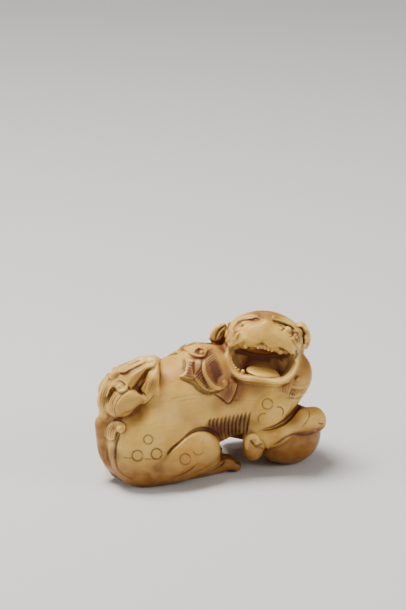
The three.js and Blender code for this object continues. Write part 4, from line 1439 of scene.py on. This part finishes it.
# Darker towards the ground, on the low haunches and on the feet: amber, and painted shade too.
# The ball's amber is its own colour.
amber_and_low_shade = [near_ground(9.6, 5.5), around_ball, inside(egg((1, -6, -0.5), (8, 6, 4)), 2.5)]
amber_and_low_shade += [inside(egg((-12, side * 6, -1), (13, 9, 8)), 4.5) for side in SIDES]
amber_and_low_shade += dabs(near, HONEY_BOTH) + dabs(far, HONEY_BOTH)
amber_and_low_shade += dabs(face, HONEY_FACE) + dabs(near, HONEY_NEAR)
print("patches of honey:", len(amber_and_low_shade))
amber_and_low_shade = strongest(amber_and_low_shade)
store("amber_and_low_shade", amber_and_low_shade)

wear_and_highlight = np.clip(buried * 1.5 - 0.25, 0, 1) * (1 - 0.5 * wine) * (1 - 0.6 * np.clip(amber_and_low_shade, 0, 1))
# Ridges rubbed pale by wear, stored together with the painted highlights.
store("wear_and_highlight", np.maximum(wear_and_highlight, strongest(dabs(near, PAINTED_HIGHLIGHT_NEAR))))
print("rubbed, mean:", round(float(wear_and_highlight.mean()), 3))

# %% [markdown]
# The finish is one material. Its maths reads like Python because a small class wraps a
# node's socket: adding two of them adds a Math node. Colours are mixed, never multiplied
# in a Math node, which would turn them grey.

# %% Shader values
class Value:
    """A node's socket that Python's operators work on."""

    def __init__(self, socket):
        self.socket = socket

    def math(self, operation, other):
        return node("Math", {"operation": operation}, {0: self, 1: other})

    def __add__(self, other):
        return self.math("ADD", other)

    def __mul__(self, other):
        return self.math("MULTIPLY", other)

    def __sub__(self, other):
        return self.math("SUBTRACT", other)

    def __rsub__(self, other):
        return node("Math", {"operation": "SUBTRACT"}, {0: other, 1: self})

    __radd__ = __add__
    __rmul__ = __mul__

    def between(self, low, high):
        """0 at `low` and below, 1 at `high` and above, and smooth in between."""
        ends = {"From Min": low, "From Max": high}
        return node("MapRange", {"interpolation_type": "SMOOTHSTEP"}, {"Value": self, **ends})


def node(kind, settings, inputs, output=0):
    """Add a node: its settings first, then the values or links of its sockets."""
    made = ivory.node_tree.nodes.new("ShaderNode" + kind)
    for name, setting in settings.items():
        setattr(made, name, setting)
    for name, value in inputs.items():
        if isinstance(value, Value):
            ivory.node_tree.links.new(value.socket, made.inputs[name])
        else:
            made.inputs[name].default_value = value
    return Value(made.outputs[output])


def paint(red, green, blue):
    """A colour as a painter's chart gives it, 0 to 255, for Blender's linear sockets."""
    return tuple((part / 255) ** 2.2 for part in (red, green, blue)) + (1,)


def mix(amount, under, over):
    """One colour laid over another."""
    return node("Mix", {"data_type": "RGBA"}, {0: amount, 6: under, 7: over}, 2)


ivory = bpy.data.materials.new("stained_ivory")
ivory.use_nodes = True
finish = ivory.node_tree.nodes["Principled BSDF"]
print("material:", ivory.name)

# %% [markdown]
# These are the colours: two of the ivory itself, four of the stain, from amber to the
# near black of the cut lines, of which amber and umber also lay painted shade, and one of
# rubbed places and painted highlights.

# %% Palette
CREAM = paint(232, 189, 97)
GOLD = paint(206, 141, 42)
HONEY = paint(130, 76, 0)
WINE = paint(118, 63, 12)
UMBER = paint(90, 40, 0)
INK = paint(56, 20, 2)
PALE_WEAR_AND_HIGHLIGHT = paint(250, 208, 120)
print("colours: 7")

# %% [markdown]
# Ivory is never one tone. Under the stain it runs from cream to gold in soft clouds a few
# millimetres wide, with finer streaks along the length of the tusk and a few dark pores.

# %% Bare ivory
place = node("TexCoord", {}, {}, "Object")
stretched = node("VectorMath", {"operation": "MULTIPLY"}, {0: place, 1: (0.3, 1, 1)})


def noise(size_mm, detail=3, where=place):
    scale = 1 / (size_mm * MM)
    return node("TexNoise", {}, {"Vector": where, "Scale": scale, "Detail": detail})


def attribute(name):
    return node("Attribute", {"attribute_name": name}, {}, "Fac")


clouds = noise(6, 4)
mottle = noise(1.6, 4)
streaks = noise(0.9, 3, stretched)
bare = mix(clouds.between(0.35, 0.8) * 0.7, CREAM, GOLD)
bare = mix(streaks.between(0.45, 0.8) * 0.35, bare, GOLD)
pores = node("TexVoronoi", {}, {"Vector": place, "Scale": 1 / (1.7 * MM)})
speck = (1 - pores.between(0.05, 0.13)) * clouds.between(0.5, 0.62)
bare = mix(speck * 0.45, bare, UMBER)
print("nodes of bare ivory:", len(ivory.node_tree.nodes) - 2)

# %% [markdown]
# The stains go over it from the broadest to the finest: honey, wine, umber, painted shade
# in every hollow, then ink in the cut lines. Honey and umber carry painted shade too.
# Rubbed places and painted highlights come last, because wear takes the stain off. The same
# measures make the recesses a little less shiny.

# %% Stain and painted shade over it
hollow_stain_and_shade = attribute("stain_and_shade_in_hollows")
tone = mix(attribute("amber_and_low_shade") * (0.6 + mottle * 0.5), bare, HONEY)
in_wine = attribute("wine")
tone = mix(in_wine * (0.35 + hollow_stain_and_shade * 1.4) * (0.6 + mottle * 0.5), tone, WINE)
tone = mix(attribute("umber_and_shade") * (0.5 + hollow_stain_and_shade), tone, UMBER)
# Painted shade in every hollow, less of it where the wine already lies.
tone = mix(hollow_stain_and_shade.between(0.2, 1) * (0.8 - in_wine * 0.6), tone, UMBER)
ink_amount = attribute("ink")
tone = mix(ink_amount.between(0.1, 1) * (0.75 + mottle * 0.3), tone, INK)
# Rubbed ridges and painted highlights lighten it.
tone = mix(attribute("wear_and_highlight") * 0.55, tone, PALE_WEAR_AND_HIGHLIGHT)

ivory.node_tree.links.new(tone.socket, finish.inputs["Base Color"])
shine = 0.3 + hollow_stain_and_shade * 0.35 + ink_amount * 0.2 + mottle * 0.08
ivory.node_tree.links.new(shine.socket, finish.inputs["Roughness"])
finish.inputs["IOR"].default_value = 1.54
finish.inputs["Specular IOR Level"].default_value = 0.35
finish.inputs["Subsurface Weight"].default_value = 0.12
finish.inputs["Subsurface Radius"].default_value = (1, 0.55, 0.3)
finish.inputs["Subsurface Scale"].default_value = 0.8 * MM
small.materials.append(ivory)

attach(piece, "root")
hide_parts("netsuke")
print("nodes in the material:", len(ivory.node_tree.nodes))

# %% [markdown]
# A piece this small is shot on a sheet of pale paper. The room around it gives a little
# warm light from everywhere.

# %% Floor and room
bpy.ops.mesh.primitive_plane_add(size=4)
floor = bpy.context.object
floor.name = "floor"
paper = bpy.data.materials.new("paper")
paper.use_nodes = True
sheet = paper.node_tree.nodes["Principled BSDF"]
sheet.inputs["Base Color"].default_value = (0.7, 0.7, 0.69, 1)
sheet.inputs["Roughness"].default_value = 0.8
floor.data.materials.append(paper)

world = bpy.data.worlds.new("studio")
bpy.context.scene.world = world
world.use_nodes = True
room = world.node_tree.nodes["Background"]
room.inputs["Color"].default_value = (1, 0.96, 0.92, 1)
room.inputs["Strength"].default_value = 0.25
print("room light:", room.inputs["Strength"].default_value)

# %% [markdown]
# The view is fixed before the lights, because they are placed by it. The eye looks down
# by 20 degrees and from the left. `back` leads from the piece to the eye, `right` and `up`
# lie across the view.

# %% View
CAMERA_AZIMUTH, CAMERA_ELEVATION, CAMERA_AWAY = -22, 20, 0.6
azimuth, elevation = math.radians(CAMERA_AZIMUTH), math.radians(CAMERA_ELEVATION)
back = Vector((
    math.sin(azimuth) * math.cos(elevation),
    -math.cos(azimuth) * math.cos(elevation),
    math.sin(elevation),
))
right = Vector((math.cos(azimuth), math.sin(azimuth), 0))
up = back.cross(right)
middle = origin + Vector((1, 0, 15)) * MM
print("the way back to the eye:", [round(part, 2) for part in back])

# %% [markdown]
# Three soft boxes light the piece: a warm key from above, a weak fill from the right, and
# a cool one from the left that brings out the carving.

# %% Lights
WARM, WHITE, COOL = (1, 0.97, 0.92), (1, 1, 1), (0.92, 0.96, 1)


def softbox(name, at, size, power, colour):
    """A rectangle of light that faces the middle of the piece."""
    data = bpy.data.lights.new(name, "AREA")
    data.energy = power
    data.shape = "RECTANGLE"
    data.size, data.size_y = size
    data.color = colour
    light = bpy.data.objects.new(name, data)
    light.location = at
    light.rotation_euler = (middle - at).to_track_quat("-Z", "Y").to_euler()
    bpy.context.scene.collection.objects.link(light)


key_at = middle - 0.16 * right + 0.5 * up + 0.12 * back
fill_at = middle + 0.5 * right + 0.2 * up + 0.3 * back
side_at = middle - 0.55 * right + 0.1 * up + 0.1 * back
softbox("key", key_at, (0.2, 0.2), 5, WARM)
softbox("fill", fill_at, (0.3, 0.3), 1.3, WHITE)
softbox("side", side_at, (0.2, 0.4), 1.4, COOL)
print("lights: key, fill, side")

# %% [markdown]
# The camera stands well back with a long lens. It does not look at the middle of the
# piece but well above it, so the piece stands low in the view, with empty paper over it.

# %% Camera
LENS = 168.7
AIM_RIGHT, AIM_UP = -0.63, 19.32  # mm from the middle, as the camera sees right and up

aim = middle + (AIM_RIGHT * right + AIM_UP * up) * MM
camera_data = bpy.data.cameras.new("camera")
camera_data.lens = LENS
camera_data.sensor_width = 36
camera_data.clip_start = 0.01
camera = bpy.data.objects.new("camera", camera_data)
camera.location = middle + CAMERA_AWAY * back
camera.rotation_euler = (aim - camera.location).to_track_quat("-Z", "Y").to_euler()
bpy.context.scene.collection.objects.link(camera)
bpy.context.scene.camera = camera
print("camera stands back, m:", CAMERA_AWAY)
